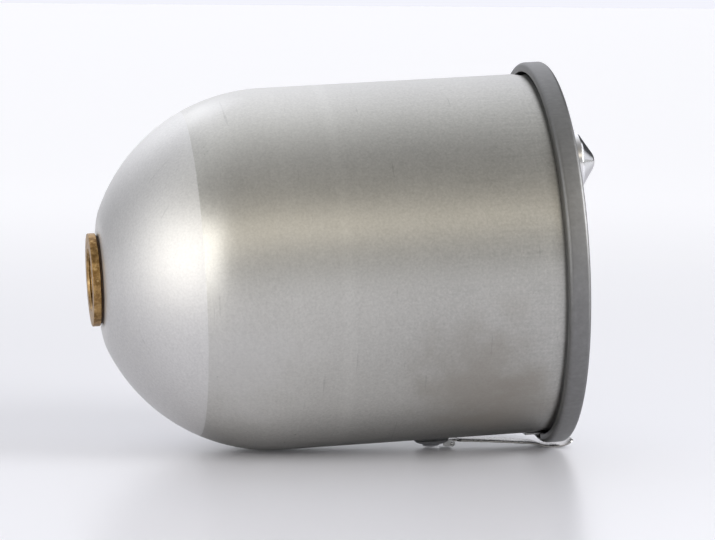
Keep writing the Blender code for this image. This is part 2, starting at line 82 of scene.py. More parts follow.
# node helpers
def node(tree, kind, options=None, **sockets):
    made = tree.nodes.new(kind)
    for key, value in (options or {}).items():
        setattr(made, key, value)
    for key, value in sockets.items():
        number = key[1:]
        socket = made.inputs[int(number) if key[0] == "n" and number.isdigit() else key.replace("_", " ")]
        if isinstance(value, bpy.types.NodeSocket):
            tree.links.new(value, socket)
        else:
            socket.default_value = value
    return made


def maths(tree, operation, *values):
    made = node(tree, "ShaderNodeMath", {"operation": operation})
    for socket, value in zip(made.inputs, values):
        if isinstance(value, bpy.types.NodeSocket):
            tree.links.new(value, socket)
        else:
            socket.default_value = value
    return made.outputs[0]


def between(tree, value, low, high, start=0.0, end=1.0):
    made = node(tree, "ShaderNodeMapRange", {"interpolation_type": "SMOOTHSTEP"}, Value=value)
    for key, number in (("From Min", low), ("From Max", high), ("To Min", start), ("To Max", end)):
        made.inputs[key].default_value = number
    return made.outputs["Result"]


def band(tree, value, middle, half, soft):
    # 1 inside the band, with soft edges
    away = maths(tree, "ABSOLUTE", maths(tree, "SUBTRACT", value, middle))
    return between(tree, away, half, half + soft, 1.0, 0.0)


def blendColours(tree, factor, first, second, mode="MIX"):
    made = node(tree, "ShaderNodeMix", {"data_type": "RGBA", "blend_type": mode})
    for index, value in ((0, factor), (6, first), (7, second)):
        if isinstance(value, bpy.types.NodeSocket):
            tree.links.new(value, made.inputs[index])
        else:
            made.inputs[index].default_value = value if index == 0 else (*value, 1)
    return made.outputs[2]


def placed(tree, stretch=(1, 1, 1)):
    # object coordinates counted from the bush's face on the axis, stretched for streaks
    coords = node(tree, "ShaderNodeTexCoord").outputs["Object"]
    origin = Vector((bushX, 0, axisZ))
    offset = [-a * b for a, b in zip(origin, stretch)]
    return node(tree, "ShaderNodeMapping", Vector=coords, Location=offset, Scale=stretch).outputs[0]


def noise(tree, scale, stretch=(1, 1, 1), detail=3.0, distortion=0.0):
    made = node(tree, "ShaderNodeTexNoise", Vector=placed(tree, stretch), Scale=scale, Detail=detail,
                Roughness=0.6, Distortion=distortion)
    return made.outputs["Fac"]


def varied(tree, start, *terms):
    # start plus weight * (noise - 0.5) for each term
    total = start - sum(weight for _, weight in terms) / 2
    for value, weight in terms:
        total = maths(tree, "MULTIPLY_ADD", value, weight, total)
    return total


def shader(name):
    made = bpy.data.materials.new(name)
    made.use_nodes = True
    tree = made.node_tree
    return made, tree, tree.nodes["Principled BSDF"]


def shade(tree, colour, amount):
    # colour times a varying amount
    made = node(tree, "ShaderNodeVectorMath", {"operation": "SCALE"}, Scale=amount)
    if isinstance(colour, bpy.types.NodeSocket):
        tree.links.new(colour, made.inputs[0])
    else:
        made.inputs[0].default_value = colour
    return made.outputs[0]


def dressed(tree, surface, colour, metallic, rough, relief, depth):
    # what varies is linked, and what is the same all over sits on the shader itself
    bump = node(tree, "ShaderNodeBump", Height=relief, Distance=depth, Strength=1.0)
    surface.inputs["Metallic"].default_value = metallic
    tree.links.new(colour, surface.inputs["Base Color"])
    tree.links.new(rough, surface.inputs["Roughness"])
    tree.links.new(bump.outputs[0], surface.inputs["Normal"])


# camera, floor and light
view = {"place": (-0.14329, -0.98374, 0.1385), "turn": (85.067, 2.829, -8.704), "lens": 181.26}
room = {
    "lean": 3.36,               # degrees: the housing lies on its clip and on the dome's shoulder
    "touch": (0.0554, 0.0, 0.0),
    "size": 60.0,
    "floor": (0.72, 0.72, 0.765),
    "farFloor": (0.86, 0.86, 0.89),
    "fading": (0.05, 1.3),      # metres from the housing
    "floorGlow": (0.035, 0.20),
    "leftShade": 0.34,
    "flag": 0.06,               # a dark panel behind on the right draws the polished edges
    "backdrop": (0.905, 0.91, 0.985),
    "backdropTop": (0.965, 0.962, 1.0),
    "strength": 1.5,
    # what the room sends to the metal, by the angle over the front: 0 is level, 90 overhead
    "glow": (
        (-90, 0.55, (1.0, 1.0, 1.0)), (0, 0.50, (1.0, 1.0, 1.0)), (14, 0.48, (1.0, 0.98, 0.95)),
        (20, 0.72, (1.0, 0.95, 0.88)), (25, 1.25, (1.0, 0.93, 0.80)), (31, 1.25, (1.0, 0.93, 0.80)),
        (37, 0.66, (1.0, 0.94, 0.84)), (44, 0.46, (1.0, 0.95, 0.86)), (54, 0.36, (1.0, 0.97, 0.92)),
        (72, 0.38, (1.0, 0.99, 0.98)), (86, 0.56, (1.0, 1.0, 1.0)), (105, 0.95, (0.99, 1.0, 1.02)),
        (125, 1.30, (0.98, 0.99, 1.04)), (150, 1.35, (0.98, 0.99, 1.05)), (164, 1.20, (0.98, 0.99, 1.05)),
        (173, 0.96, (0.97, 0.98, 1.02)), (180, 0.93, (0.97, 0.98, 1.04)),
    ),
}
softboxes = {
    # direction from the dome, distance, width, height, power, colour
    "leftSoftbox": ((-0.88, -0.50, 0.07), 0.85, 0.72, 0.95, 3.5, (1.0, 0.99, 0.97)),
    "topSoftbox": ((-0.38, 0.76, 0.55), 1.10, 0.70, 0.40, 0.3, (0.97, 0.98, 1.0)),
    "rightSoftbox": ((0.84, -0.45, 0.32), 0.90, 0.50, 0.50, 6.5, (0.98, 0.99, 1.0)),
}


def makeCamera():
    camera = bpy.data.objects.new("camera", bpy.data.cameras.new("camera"))
    camera.location = view["place"]
    camera.rotation_euler = [radians(angle) for angle in view["turn"]]
    camera.data.lens = view["lens"]
    camera.data.sensor_width = 36.0
    camera.data.clip_start = 0.01
    bpy.context.scene.collection.objects.link(camera)
    bpy.context.scene.camera = camera


def makeFloor():
    mesh = bpy.data.meshes.new("floor")
    half = room["size"] / 2
    corners = [(-half, -half, 0), (half, -half, 0), (half, half, 0), (-half, half, 0)]
    mesh.from_pydata(corners, [], [(0, 1, 2, 3)])
    floor = bpy.data.objects.new("floor", mesh)
    floor.location = room["touch"]
    floor.rotation_euler = (0, radians(room["lean"]), 0)
    bpy.context.scene.collection.objects.link(floor)
    made, tree, surface = shader("whiteTable")
    coords = node(tree, "ShaderNodeTexCoord").outputs["Object"]
    away = node(tree, "ShaderNodeVectorMath", {"operation": "LENGTH"}, n0=coords)
    far = between(tree, away.outputs["Value"], *room["fading"])
    tree.links.new(blendColours(tree, far, room["floor"], room["farFloor"]), surface.inputs["Base Color"])
    surface.inputs["Roughness"].default_value = 0.28
    surface.inputs["Emission Color"].default_value = (0.97, 0.97, 1.0, 1)
    low, high = room["floorGlow"]
    tree.links.new(maths(tree, "MULTIPLY_ADD", far, high - low, low), surface.inputs["Emission Strength"])
    surface.inputs["Specular IOR Level"].default_value = 0.4
    mesh.materials.append(made)


def makeWorld():
    world = bpy.data.worlds.new("studio")
    bpy.context.scene.world = world
    world.use_nodes = True
    tree = world.node_tree
    tree.nodes.clear()
    direction = node(tree, "ShaderNodeTexCoord").outputs["Generated"]
    parts = node(tree, "ShaderNodeSeparateXYZ", n0=direction)
    front = maths(tree, "MULTIPLY", parts.outputs["Y"], -1.0)
    angle = maths(tree, "ARCTAN2", parts.outputs["Z"], front)
    turn = maths(tree, "MULTIPLY_ADD", angle, 1 / tau, 0.5)
    glow = node(tree, "ShaderNodeValToRGB", Fac=turn)
    elements = glow.color_ramp.elements
    elements.remove(elements[0])
    for i, (degrees, level, colour) in enumerate(room["glow"]):
        place = min(degrees / 360 + 0.5, 1.0)
        element = elements[0] if i == 0 else elements.new(place)
        element.position = place
        element.color = (*[level * c / room["strength"] for c in colour], 1)
    upward = between(tree, parts.outputs["Z"], -0.02, 0.30)
    seen = blendColours(tree, upward, room["backdrop"], room["backdropTop"])
    behind = between(tree, parts.outputs["Y"], 0.15, 0.30)
    shaded = maths(tree, "MULTIPLY", between(tree, parts.outputs["X"], -0.60, -0.25, 1.0, 0.0), behind)
    side = maths(tree, "MULTIPLY_ADD", shaded, room["leftShade"] - 1, 1.0)
    panel = maths(tree, "MULTIPLY", band(tree, parts.outputs["X"], 0.58, 0.16, 0.08), behind)
    side = maths(tree, "MULTIPLY", side, maths(tree, "MULTIPLY_ADD", panel, room["flag"] - 1, 1.0))
    glowing = shade(tree, glow.outputs["Color"], side)
    lit = node(tree, "ShaderNodeBackground", Color=glowing, Strength=room["strength"])
    plain = node(tree, "ShaderNodeBackground", Color=seen, Strength=1.0)
    straight = node(tree, "ShaderNodeLightPath").outputs["Is Camera Ray"]
    mixed = node(tree, "ShaderNodeMixShader", n0=straight, n1=lit.outputs[0], n2=plain.outputs[0])
    node(tree, "ShaderNodeOutputWorld", Surface=mixed.outputs[0])


def makeSoftboxes():
    middle = Vector((bushX + 0.05, 0, axisZ))
    for name, (direction, distance, width, height, power, colour) in softboxes.items():
        light = bpy.data.lights.new(name, "AREA")
        light.shape = "RECTANGLE"
        light.size = width
        light.size_y = height
        light.energy = power
        light.color = colour
        lamp = bpy.data.objects.new(name, light)
        away = Vector(direction).normalized()
        lamp.location = middle + away * distance
        lamp.rotation_euler = away.to_track_quat("Z", "Y").to_euler()
        bpy.context.scene.collection.objects.link(lamp)


makeCamera()
makeFloor()
makeWorld()
makeSoftboxes()
bpy.context.scene.view_settings.view_transform = "Standard"
note("camera, floor and lights are set")


# finishes
cupLook = {
    "dome": (0.70, 0.695, 0.685),
    "barrel": (0.475, 0.47, 0.448),
    "stain": (0.33, 0.305, 0.27),
    "finishLine": 27.4 * mm,
    "shoulderRing": 64.5 * mm,
    "mouthRings": (117.4 * mm, 119.0 * mm),
    "stainSpots": (
        # distance, across, height, radius, strength
        (99 * mm, -38 * mm, -32 * mm, 24 * mm, 0.60),
        (110 * mm, -30 * mm, -40 * mm, 20 * mm, 0.55),
        (109 * mm, -49 * mm, -10 * mm, 7 * mm, 0.22),
        (118 * mm, -46 * mm, 19 * mm, 8 * mm, 0.18),
    ),
    # painted highlights: lighter patches just past the finish line, where the lamps' highlights run onto the
    # barrel; same columns as the stains
    "paintedHighlights": (
        (34 * mm, -14 * mm, 46 * mm, 10 * mm, 0.40),
        (36 * mm, -40 * mm, -22 * mm, 22 * mm, 0.30),
    ),
}


def spotMask(tree, coords, spot):
    distance, across, height, radius, strength = spot
    away = node(tree, "ShaderNodeVectorMath", {"operation": "DISTANCE"}, n0=coords)
    away.inputs[1].default_value = (distance, across, height)
    ragged = varied(tree, 0.0, (noise(tree, 90, detail=4.0), radius * 1.4))
    edge = maths(tree, "ADD", away.outputs["Value"], ragged)
    return between(tree, edge, radius * 0.25, radius, strength, 0.0)


def specks(tree, scale, size, share):
    cells = node(tree, "ShaderNodeTexVoronoi", Vector=placed(tree), Scale=scale)
    chosen = node(tree, "ShaderNodeSeparateColor", n0=cells.outputs["Color"])
    picked = between(tree, chosen.outputs[0], 1 - share, 1 - share + 0.001)
    near = between(tree, cells.outputs["Distance"], size * 0.6, size, 1.0, 0.0)
    return maths(tree, "MULTIPLY", picked, near)


def barrelSteel():
    made, tree, surface = shader("barrelSteel")
    look = cupLook
    coords = placed(tree)
    parts = node(tree, "ShaderNodeSeparateXYZ", n0=coords)
    distance = parts.outputs["X"]
    grain = noise(tree, 900, detail=4.0)
    fine = noise(tree, 1600, detail=3.0)
    rings = noise(tree, 1, (1500, 22, 22), detail=3.0)
    broadRings = noise(tree, 1, (260, 9, 9), detail=2.0)
    lengthwise = noise(tree, 1, (45, 1500, 1500), detail=3.0)
    cloud = noise(tree, 34, detail=5.0)
    nearMouth = between(tree, distance, 92 * mm, 118 * mm)
    nearDome = between(tree, distance, 40 * mm, 90 * mm, 1.0, 0.25)
    amount = varied(tree, 1.0, (grain, 0.22), (fine, 0.46), (cloud, 0.16))
    # painted highlight: lighter towards the dome, where the left softbox's reflection reaches past the finish
    # line
    amount = maths(tree, "ADD", amount, between(tree, distance, 40 * mm, 96 * mm, 0.20, 0.0))
    ringed = maths(tree, "MULTIPLY", maths(tree, "SUBTRACT", rings, 0.5), nearDome)
    amount = maths(tree, "MULTIPLY_ADD", ringed, 0.09, amount)
    amount = maths(tree, "ADD", amount, varied(tree, 0.0, (broadRings, 0.03)))
    brushed = maths(tree, "MULTIPLY", maths(tree, "SUBTRACT", lengthwise, 0.5), nearMouth)
    amount = maths(tree, "MULTIPLY_ADD", brushed, 0.22, amount)
    shoulder = band(tree, distance, look["shoulderRing"], 0.4 * mm, 2.2 * mm)
    amount = maths(tree, "MULTIPLY_ADD", shoulder, 0.05, amount)
    for place in look["mouthRings"]:
        amount = maths(tree, "MULTIPLY_ADD", band(tree, distance, place, 0.1 * mm, 0.25 * mm), 0.025, amount)
    # darker towards the mouth, beside the skirt's edge
    amount = maths(tree, "ADD", amount, between(tree, distance, 100 * mm, 120 * mm, 0.0, -0.06))
    # painted shade: darker towards the underside, where the cup meets the floor
    amount = maths(tree, "ADD", amount, between(tree, parts.outputs["Z"], -50 * mm, -33 * mm, -0.45, 0.0))
    scratches = between(tree, noise(tree, 1, (900, 60, 60), detail=1.0, distortion=0.2), 0.735, 0.76)
    amount = maths(tree, "MULTIPLY_ADD", scratches, -0.14, amount)
    dots = specks(tree, 75, 0.045, 0.10)
    amount = maths(tree, "MULTIPLY_ADD", dots, -0.22, amount)
    colour = shade(tree, look["barrel"], amount)
    # painted highlights: patches blended towards the dome's colour
    for spot in look["paintedHighlights"]:
        colour = blendColours(tree, spotMask(tree, coords, spot), colour, look["dome"])
    for spot in look["stainSpots"]:
        colour = blendColours(tree, spotMask(tree, coords, spot), colour, look["stain"])
    rough = varied(tree, 0.31, (grain, 0.10), (cloud, 0.08), (rings, 0.06))
    relief = varied(tree, 0.5, (grain, 0.5), (fine, 0.3), (rings, 0.5), (lengthwise, 0.4))
    dressed(tree, surface, colour, 1.0, rough, relief, 0.010 * mm)
    surface.inputs["Anisotropic"].default_value = 0.45
    tangent = node(tree, "ShaderNodeTangent", {"direction_type": "RADIAL", "axis": "X"})
    tree.links.new(tangent.outputs[0], surface.inputs["Tangent"])
    return made


def domeSteel():
    made, tree, surface = shader("domeSteel")
    grain = noise(tree, 1100, detail=4.0)
    fine = noise(tree, 1600, detail=3.0)
    cloud = noise(tree, 30, detail=5.0)
    rings = noise(tree, 1, (700, 18, 18), detail=2.0)
    amount = varied(tree, 1.0, (grain, 0.14), (fine, 0.32), (cloud, 0.10), (rings, 0.04))
    dots = specks(tree, 85, 0.040, 0.12)
    amount = maths(tree, "MULTIPLY_ADD", dots, -0.20, amount)
    scratches = between(tree, noise(tree, 1, (80, 900, 80), detail=1.0, distortion=0.3), 0.745, 0.765)
    amount = maths(tree, "MULTIPLY_ADD", scratches, -0.10, amount)
    rough = varied(tree, 0.46, (grain, 0.10), (cloud, 0.08))
    relief = varied(tree, 0.5, (grain, 0.6), (fine, 0.4), (rings, 0.2))
    dressed(tree, surface, shade(tree, cupLook["dome"], amount), 1.0, rough, relief, 0.008 * mm)
    return made


def sheetSteel(name, look):
    # satin sheet with fine grain, cloudy patches and streaks along one direction
    made, tree, surface = shader(name)
    grain = noise(tree, look["grain"], detail=4.0)
    cloud = noise(tree, look["cloud"], detail=4.0)
    streak = noise(tree, 1, look["streak"], detail=2.0)
    weights = look["weights"]
    amount = varied(tree, 1.0, (grain, weights[0]), (cloud, weights[1]), (streak, weights[2]))
    dots = specks(tree, 120, 0.05, look["dots"])
    amount = maths(tree, "MULTIPLY_ADD", dots, -0.25, amount)
    rough = varied(tree, look["roughness"], (grain, 0.10), (cloud, 0.10))
    relief = varied(tree, 0.5, (grain, 0.6), (streak, 0.6))
    dressed(tree, surface, shade(tree, look["colour"], amount), 1.0, rough, relief, look["relief"])
    return made


def agedBrass():
    made, tree, surface = shader("agedBrass")
    pits = noise(tree, 1300, detail=5.0)
    cloud = noise(tree, 420, detail=4.0)
    streak = noise(tree, 1, (900, 160, 160), detail=2.0)
    tarnish = between(tree, varied(tree, 0.5, (cloud, 1.2), (pits, 0.8)), 0.30, 0.75)
    colour = blendColours(tree, tarnish, (0.22, 0.125, 0.045), (0.50, 0.32, 0.135))
    bright = between(tree, noise(tree, 800, detail=3.0), 0.55, 0.72, 0.0, 0.8)
    colour = blendColours(tree, bright, colour, (0.62, 0.44, 0.21))
    edge = node(tree, "ShaderNodeNewGeometry").outputs["Pointiness"]
    # painted highlight: a lighter colour along sharp edges, where the chamfers catch the light
    edgeHighlight = between(tree, edge, 0.52, 0.62, 0.0, 0.6)
    colour = blendColours(tree, edgeHighlight, colour, (0.72, 0.54, 0.29))
    rough = varied(tree, 0.42, (pits, 0.25), (cloud, 0.15))
    relief = varied(tree, 0.5, (pits, 0.8), (streak, 0.4))
    dressed(tree, surface, colour, 1.0, rough, relief, 0.05 * mm)
    return made


def polishedSteel():
    made, tree, surface = shader("polishedSteel")
    lines = noise(tree, 1, (2600, 60, 60), detail=2.0)
    cloud = noise(tree, 300, detail=3.0)
    amount = varied(tree, 1.0, (cloud, 0.10), (lines, 0.08))
    rough = varied(tree, 0.13, (cloud, 0.08), (lines, 0.05))
    dressed(tree, surface, shade(tree, (0.74, 0.74, 0.75), amount), 1.0, rough, lines, 0.003 * mm)
    return made


def softFinish(name, dark, pale, scale, roughness, relief):
    made, tree, surface = shader(name)
    grain = noise(tree, scale, detail=5.0)
    cloud = noise(tree, scale / 9, detail=3.0)
    mix = between(tree, varied(tree, 0.5, (grain, 0.7), (cloud, 0.7)), 0.25, 0.75)
    rough = varied(tree, roughness, (grain, 0.15))
    dressed(tree, surface, blendColours(tree, mix, dark, pale), 0.0, rough, grain, relief)
    return made


def oiledWire():
    made, tree, surface = shader("oiledWire")
    dust = noise(tree, 240, detail=4.0)
    colour = blendColours(tree, between(tree, dust, 0.35, 0.70), (0.10, 0.085, 0.06), (0.34, 0.31, 0.26))
    dressed(tree, surface, colour, 0.8, varied(tree, 0.42, (dust, 0.3)), dust, 0.02 * mm)
    surface.inputs["Coat Weight"].default_value = 0.35
    return made


finishes = {
    "barrel": barrelSteel(),
    "dome": domeSteel(),
    "inside": sheetSteel("insideSteel", {
        "colour": (0.40, 0.40, 0.39), "grain": 900, "cloud": 40, "streak": (900, 20, 20),
        "weights": (0.16, 0.18, 0.14), "dots": 0.10, "roughness": 0.40, "relief": 0.012 * mm}),
    "cover": sheetSteel("coverSteel", {
        "colour": (0.215, 0.215, 0.215), "grain": 800, "cloud": 60, "streak": (420, 1500, 420),
        "weights": (0.34, 0.16, 0.26), "dots": 0.12, "roughness": 0.47, "relief": 0.016 * mm}),
    "plated": sheetSteel("platedSteel", {
        "colour": (0.50, 0.51, 0.52), "grain": 700, "cloud": 150, "streak": (60, 700, 60),
        "weights": (0.14, 0.22, 0.08), "dots": 0.06, "roughness": 0.36, "relief": 0.010 * mm}),
    "spring": sheetSteel("springSteel", {
        "colour": (0.44, 0.43, 0.42), "grain": 1200, "cloud": 120, "streak": (60, 2200, 60),
        "weights": (0.12, 0.20, 0.20), "dots": 0.05, "roughness": 0.27, "relief": 0.008 * mm}),
    "wire": sheetSteel("wireSteel", {
        "colour": (0.47, 0.47, 0.46), "grain": 1500, "cloud": 90, "streak": (500, 500, 500),
        "weights": (0.16, 0.24, 0.10), "dots": 0.0, "roughness": 0.34, "relief": 0.010 * mm}),
    "brass": agedBrass(),
    "polished": polishedSteel(),
    "padWire": oiledWire(),
    "padCore": softFinish("padCore", (0.012, 0.010, 0.008), (0.10, 0.085, 0.06), 900, 0.6, 0.4 * mm),
    "fibre": softFinish("pressedFibre", (0.035, 0.020, 0.012), (0.11, 0.065, 0.040), 1500, 0.82, 0.05 * mm),
    "rubber": softFinish("blackRubber", (0.012, 0.012, 0.012), (0.035, 0.034, 0.033), 1200, 0.62, 0.02 * mm),
}
note("finishes are mixed")


# shapes
def rounded(corners, closed=True, steps=5):
    # corners as (a, b) or (a, b, radius): each radius rounds its corner off
    loop = []
    for i, corner in enumerate(corners):
        here = Vector(corner[:2])
        radius = corner[2] if len(corner) > 2 else 0
        if radius <= 0 or (not closed and i in (0, len(corners) - 1)):
            loop.append(tuple(here))
            continue
        back = Vector(corners[i - 1][:2]) - here
        ahead = Vector(corners[(i + 1) % len(corners)][:2]) - here
        half = back.angle(ahead) / 2
        trim = min(radius / tan(half), 0.49 * back.length, 0.49 * ahead.length)
        radius = trim * tan(half)
        back.normalize()
        ahead.normalize()
        centre = here + (back + ahead).normalized() * (radius / sin(half))
        first = here + back * trim - centre
        last = here + ahead * trim - centre
        start = atan2(first.y, first.x)
        sweep = (atan2(last.y, last.x) - start + pi) % tau - pi
        for k in range(steps + 1):
            angle = start + sweep * k / steps
            loop.append((centre.x + radius * cos(angle), centre.y + radius * sin(angle)))
    return loop


def arc(centre, radius, first, last, count):
    turns = [first + (last - first) * i / count for i in range(count + 1)]
    return [(centre[0] + radius * cos(t), centre[1] + radius * sin(t)) for t in turns]


def circle(radius, count, centre=(0.0, 0.0)):
    return arc(centre, radius, 0, tau * (count - 1) / count, count - 1)


def polar(radius, angle):
    return radius * cos(angle), radius * sin(angle)


def smoothed(points, spans=6):
    # a Catmull-Rom curve through the points
    line = []
    last = len(points) - 1
    for i in range(last):
        a, b, c, d = (Vector(points[min(max(k, 0), last)]) for k in (i - 1, i, i + 1, i + 2))
        for k in range(spans):
            t = k / spans
            line.append(tuple(0.5 * (2 * b + (c - a) * t + (2 * a - 5 * b + 4 * c - d) * t * t
                                     + (3 * b - a - 3 * c + d) * t ** 3)))
    return line + [tuple(points[-1])]


def meshOf(name, shape, place=None):
    bmesh.ops.remove_doubles(shape, verts=shape.verts, dist=1e-7)
    bmesh.ops.recalc_face_normals(shape, faces=shape.faces)
    if shape.calc_volume(signed=True) < 0:
        bmesh.ops.reverse_faces(shape, faces=shape.faces)
    mesh = bpy.data.meshes.new(name)
    shape.to_mesh(mesh)
    shape.free()
    if place is not None:
        mesh.transform(place)
    return mesh


def shown(name, mesh, finish, body, slot, *nodes, sharp=35):
    # a finished piece: smooth but for its edges, riding on its body in its node's stead
    piece = bpy.data.objects.new(name, mesh)
    bpy.context.scene.collection.objects.link(piece)
    mesh.shade_smooth()
    mesh.set_sharp_from_angle(angle=radians(sharp))
    if finish:
        mesh.materials.clear()
        mesh.materials.append(finishes[finish])
    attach(piece, body)
    if nodes:
        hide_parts(*nodes)
    return piece


def joined(name, meshes, keys=None):
    # one mesh, whose parts keep their own finishes where keys are given
    order = list(dict.fromkeys(keys or ()))
    shape = bmesh.new()
    for i, mesh in enumerate(meshes):
        first = len(shape.faces)
        shape.from_mesh(mesh)
        bpy.data.meshes.remove(mesh)
        shape.faces.ensure_lookup_table()
        for face in shape.faces[first:] if keys else ():
            face.material_index = order.index(keys[i])
    made = bpy.data.meshes.new(name)
    shape.to_mesh(made)
    shape.free()
    for key in order:
        made.materials.append(finishes[key])
    return made


# geometry node trees
def newTree(name, sockets):
    tree = bpy.data.node_groups.new(name, "GeometryNodeTree")
    tree.interface.new_socket("Geometry", in_out="INPUT", socket_type="NodeSocketGeometry")
    for label, kind in sockets.items():
        tree.interface.new_socket(label, in_out="INPUT", socket_type="NodeSocket" + kind)
    tree.interface.new_socket("Geometry", in_out="OUTPUT", socket_type="NodeSocketGeometry")
    return tree, tree.nodes.new("NodeGroupInput").outputs, tree.nodes.new("NodeGroupOutput")


def closeTree(tree, end, geometry, finish):
    real = node(tree, "GeometryNodeRealizeInstances", Geometry=geometry)
    painted = node(tree, "GeometryNodeSetMaterial", Geometry=real.outputs[0], Material=finish)
    tree.links.new(painted.outputs[0], end.inputs[0])


def grown(name, tree, start, values):
    # runs a tree on a start mesh and gives the plain mesh that it makes
    holder = bpy.data.objects.new(name, start)
    bpy.context.scene.collection.objects.link(holder)
    modifier = holder.modifiers.new(tree.name, "NODES")
    modifier.node_group = tree
    for item in tree.interface.items_tree:
        if item.in_out == "INPUT" and item.name in values:
            modifier[item.identifier] = values[item.name]
    graph = bpy.context.evaluated_depsgraph_get()
    mesh = bpy.data.meshes.new_from_object(holder.evaluated_get(graph))
    holder.modifiers.remove(modifier)
    bpy.data.objects.remove(holder)
    return mesh


def position(tree):
    return node(tree, "ShaderNodeSeparateXYZ", n0=node(tree, "GeometryNodeInputPosition").outputs[0])


def awayFromAxis(tree, place):
    squares = maths(tree, "MULTIPLY_ADD", place.outputs["X"], place.outputs["X"],
                    maths(tree, "MULTIPLY", place.outputs["Y"], place.outputs["Y"]))
    return maths(tree, "SQRT", squares)


def drawn(tree, line, sides, wire):
    # a round wire along a curve, closed at its ends
    section = node(tree, "GeometryNodeCurvePrimitiveCircle", Resolution=sides, Radius=wire)
    made = node(tree, "GeometryNodeCurveToMesh", Curve=line, Profile_Curve=section.outputs[0])
    made.inputs["Fill Caps"].default_value = True
    return made.outputs[0]


def turningTree():
    # swings an outline (distance along the axis, radius) once round the axis
    tree, given, end = newTree("turning", {"Steps": "Int", "Path Radius": "Float", "Material": "Material"})
    outline = node(tree, "GeometryNodeMeshToCurve", Mesh=given["Geometry"])
    path = node(tree, "GeometryNodeCurvePrimitiveCircle", Resolution=given["Steps"],
                Radius=given["Path Radius"])
    swung = node(tree, "GeometryNodeCurveToMesh", Curve=path.outputs[0], Profile_Curve=outline.outputs[0])
    merged = node(tree, "GeometryNodeMergeByDistance", Geometry=swung.outputs[0], Distance=1e-6)
    closeTree(tree, end, merged.outputs[0], given["Material"])
    return tree


turning = turningTree()
pathRadius = 0.02


def turned(name, outline, steps, place, finish="plated"):
    # the outline swings through the tree with its radius counted from the path's circle
    onAxis = outline[0][1] < 1e-9 and outline[-1][1] < 1e-9
    edges = [(i, i + 1) for i in range(len(outline) - 1)] + ([] if onAxis else [(len(outline) - 1, 0)])
    start = bpy.data.meshes.new(name)
    start.from_pydata([(radius - pathRadius, -distance, 0) for distance, radius in outline], edges, [])
    values = {"Steps": steps, "Path Radius": pathRadius, "Material": finishes[finish]}
    mesh = grown(name, turning, start, values)
    shape = bmesh.new()
    shape.from_mesh(mesh)
    return meshOf(name, shape, place)


def washer(name, start, end, inner, outer, edge, steps, place, finish="plated"):
    corners = [(end, inner, edge), (end, outer, edge), (start, outer, edge), (start, inner, edge)]
    return turned(name, rounded(corners, steps=3), steps, place, finish)


def stampingTree():
    # fills flat loops, with holes where one lies inside another, and gives them a thickness
    tree, given, end = newTree("stamping", {"Thickness": "Float", "Material": "Material"})
    loops = node(tree, "GeometryNodeMeshToCurve", Mesh=given["Geometry"])
    sheet = node(tree, "GeometryNodeFillCurve", Curve=loops.outputs[0])
    closeTree(tree, end, thickened(tree, sheet.outputs[0], given["Thickness"]), given["Material"])
    return tree


def thickened(tree, sheet, thickness):
    # a flat sheet facing +Z becomes a closed plate between Z = 0 and its thickness
    raised = node(tree, "GeometryNodeExtrudeMesh", Mesh=sheet, Offset_Scale=thickness, Individual=False)
    under = node(tree, "GeometryNodeFlipFaces", Mesh=sheet)
    both = node(tree, "GeometryNodeJoinGeometry")
    tree.links.new(under.outputs[0], both.inputs[0])
    tree.links.new(raised.outputs["Mesh"], both.inputs[0])
    return node(tree, "GeometryNodeMergeByDistance", Geometry=both.outputs[0], Distance=1e-6).outputs[0]


def perforatingTree():
    # a round disc with a middle hole and a ring of holes round it
    sizes = ("Radius", "Middle Hole", "Hole", "Hole Ring", "Thickness")
    sockets = {**{size: "Float" for size in sizes}, "Holes": "Int", "Steps": "Int", "Material": "Material"}
    tree, given, end = newTree("perforating", sockets)

    def ring(radius, count):
        return node(tree, "GeometryNodeCurvePrimitiveCircle", Resolution=count, Radius=radius).outputs[0]

    centres = ring(given["Hole Ring"], given["Holes"])
    holes = node(tree, "GeometryNodeInstanceOnPoints", Points=centres,
                 Instance=ring(given["Hole"], given["Steps"]))
    loops = node(tree, "GeometryNodeJoinGeometry")
    for loop in (ring(given["Radius"], 192), ring(given["Middle Hole"], given["Steps"]),
                 node(tree, "GeometryNodeRealizeInstances", Geometry=holes.outputs[0]).outputs[0]):
        tree.links.new(loop, loops.inputs[0])
    sheet = node(tree, "GeometryNodeFillCurve", Curve=loops.outputs[0])
    closeTree(tree, end, thickened(tree, sheet.outputs[0], given["Thickness"]), given["Material"])
    return tree


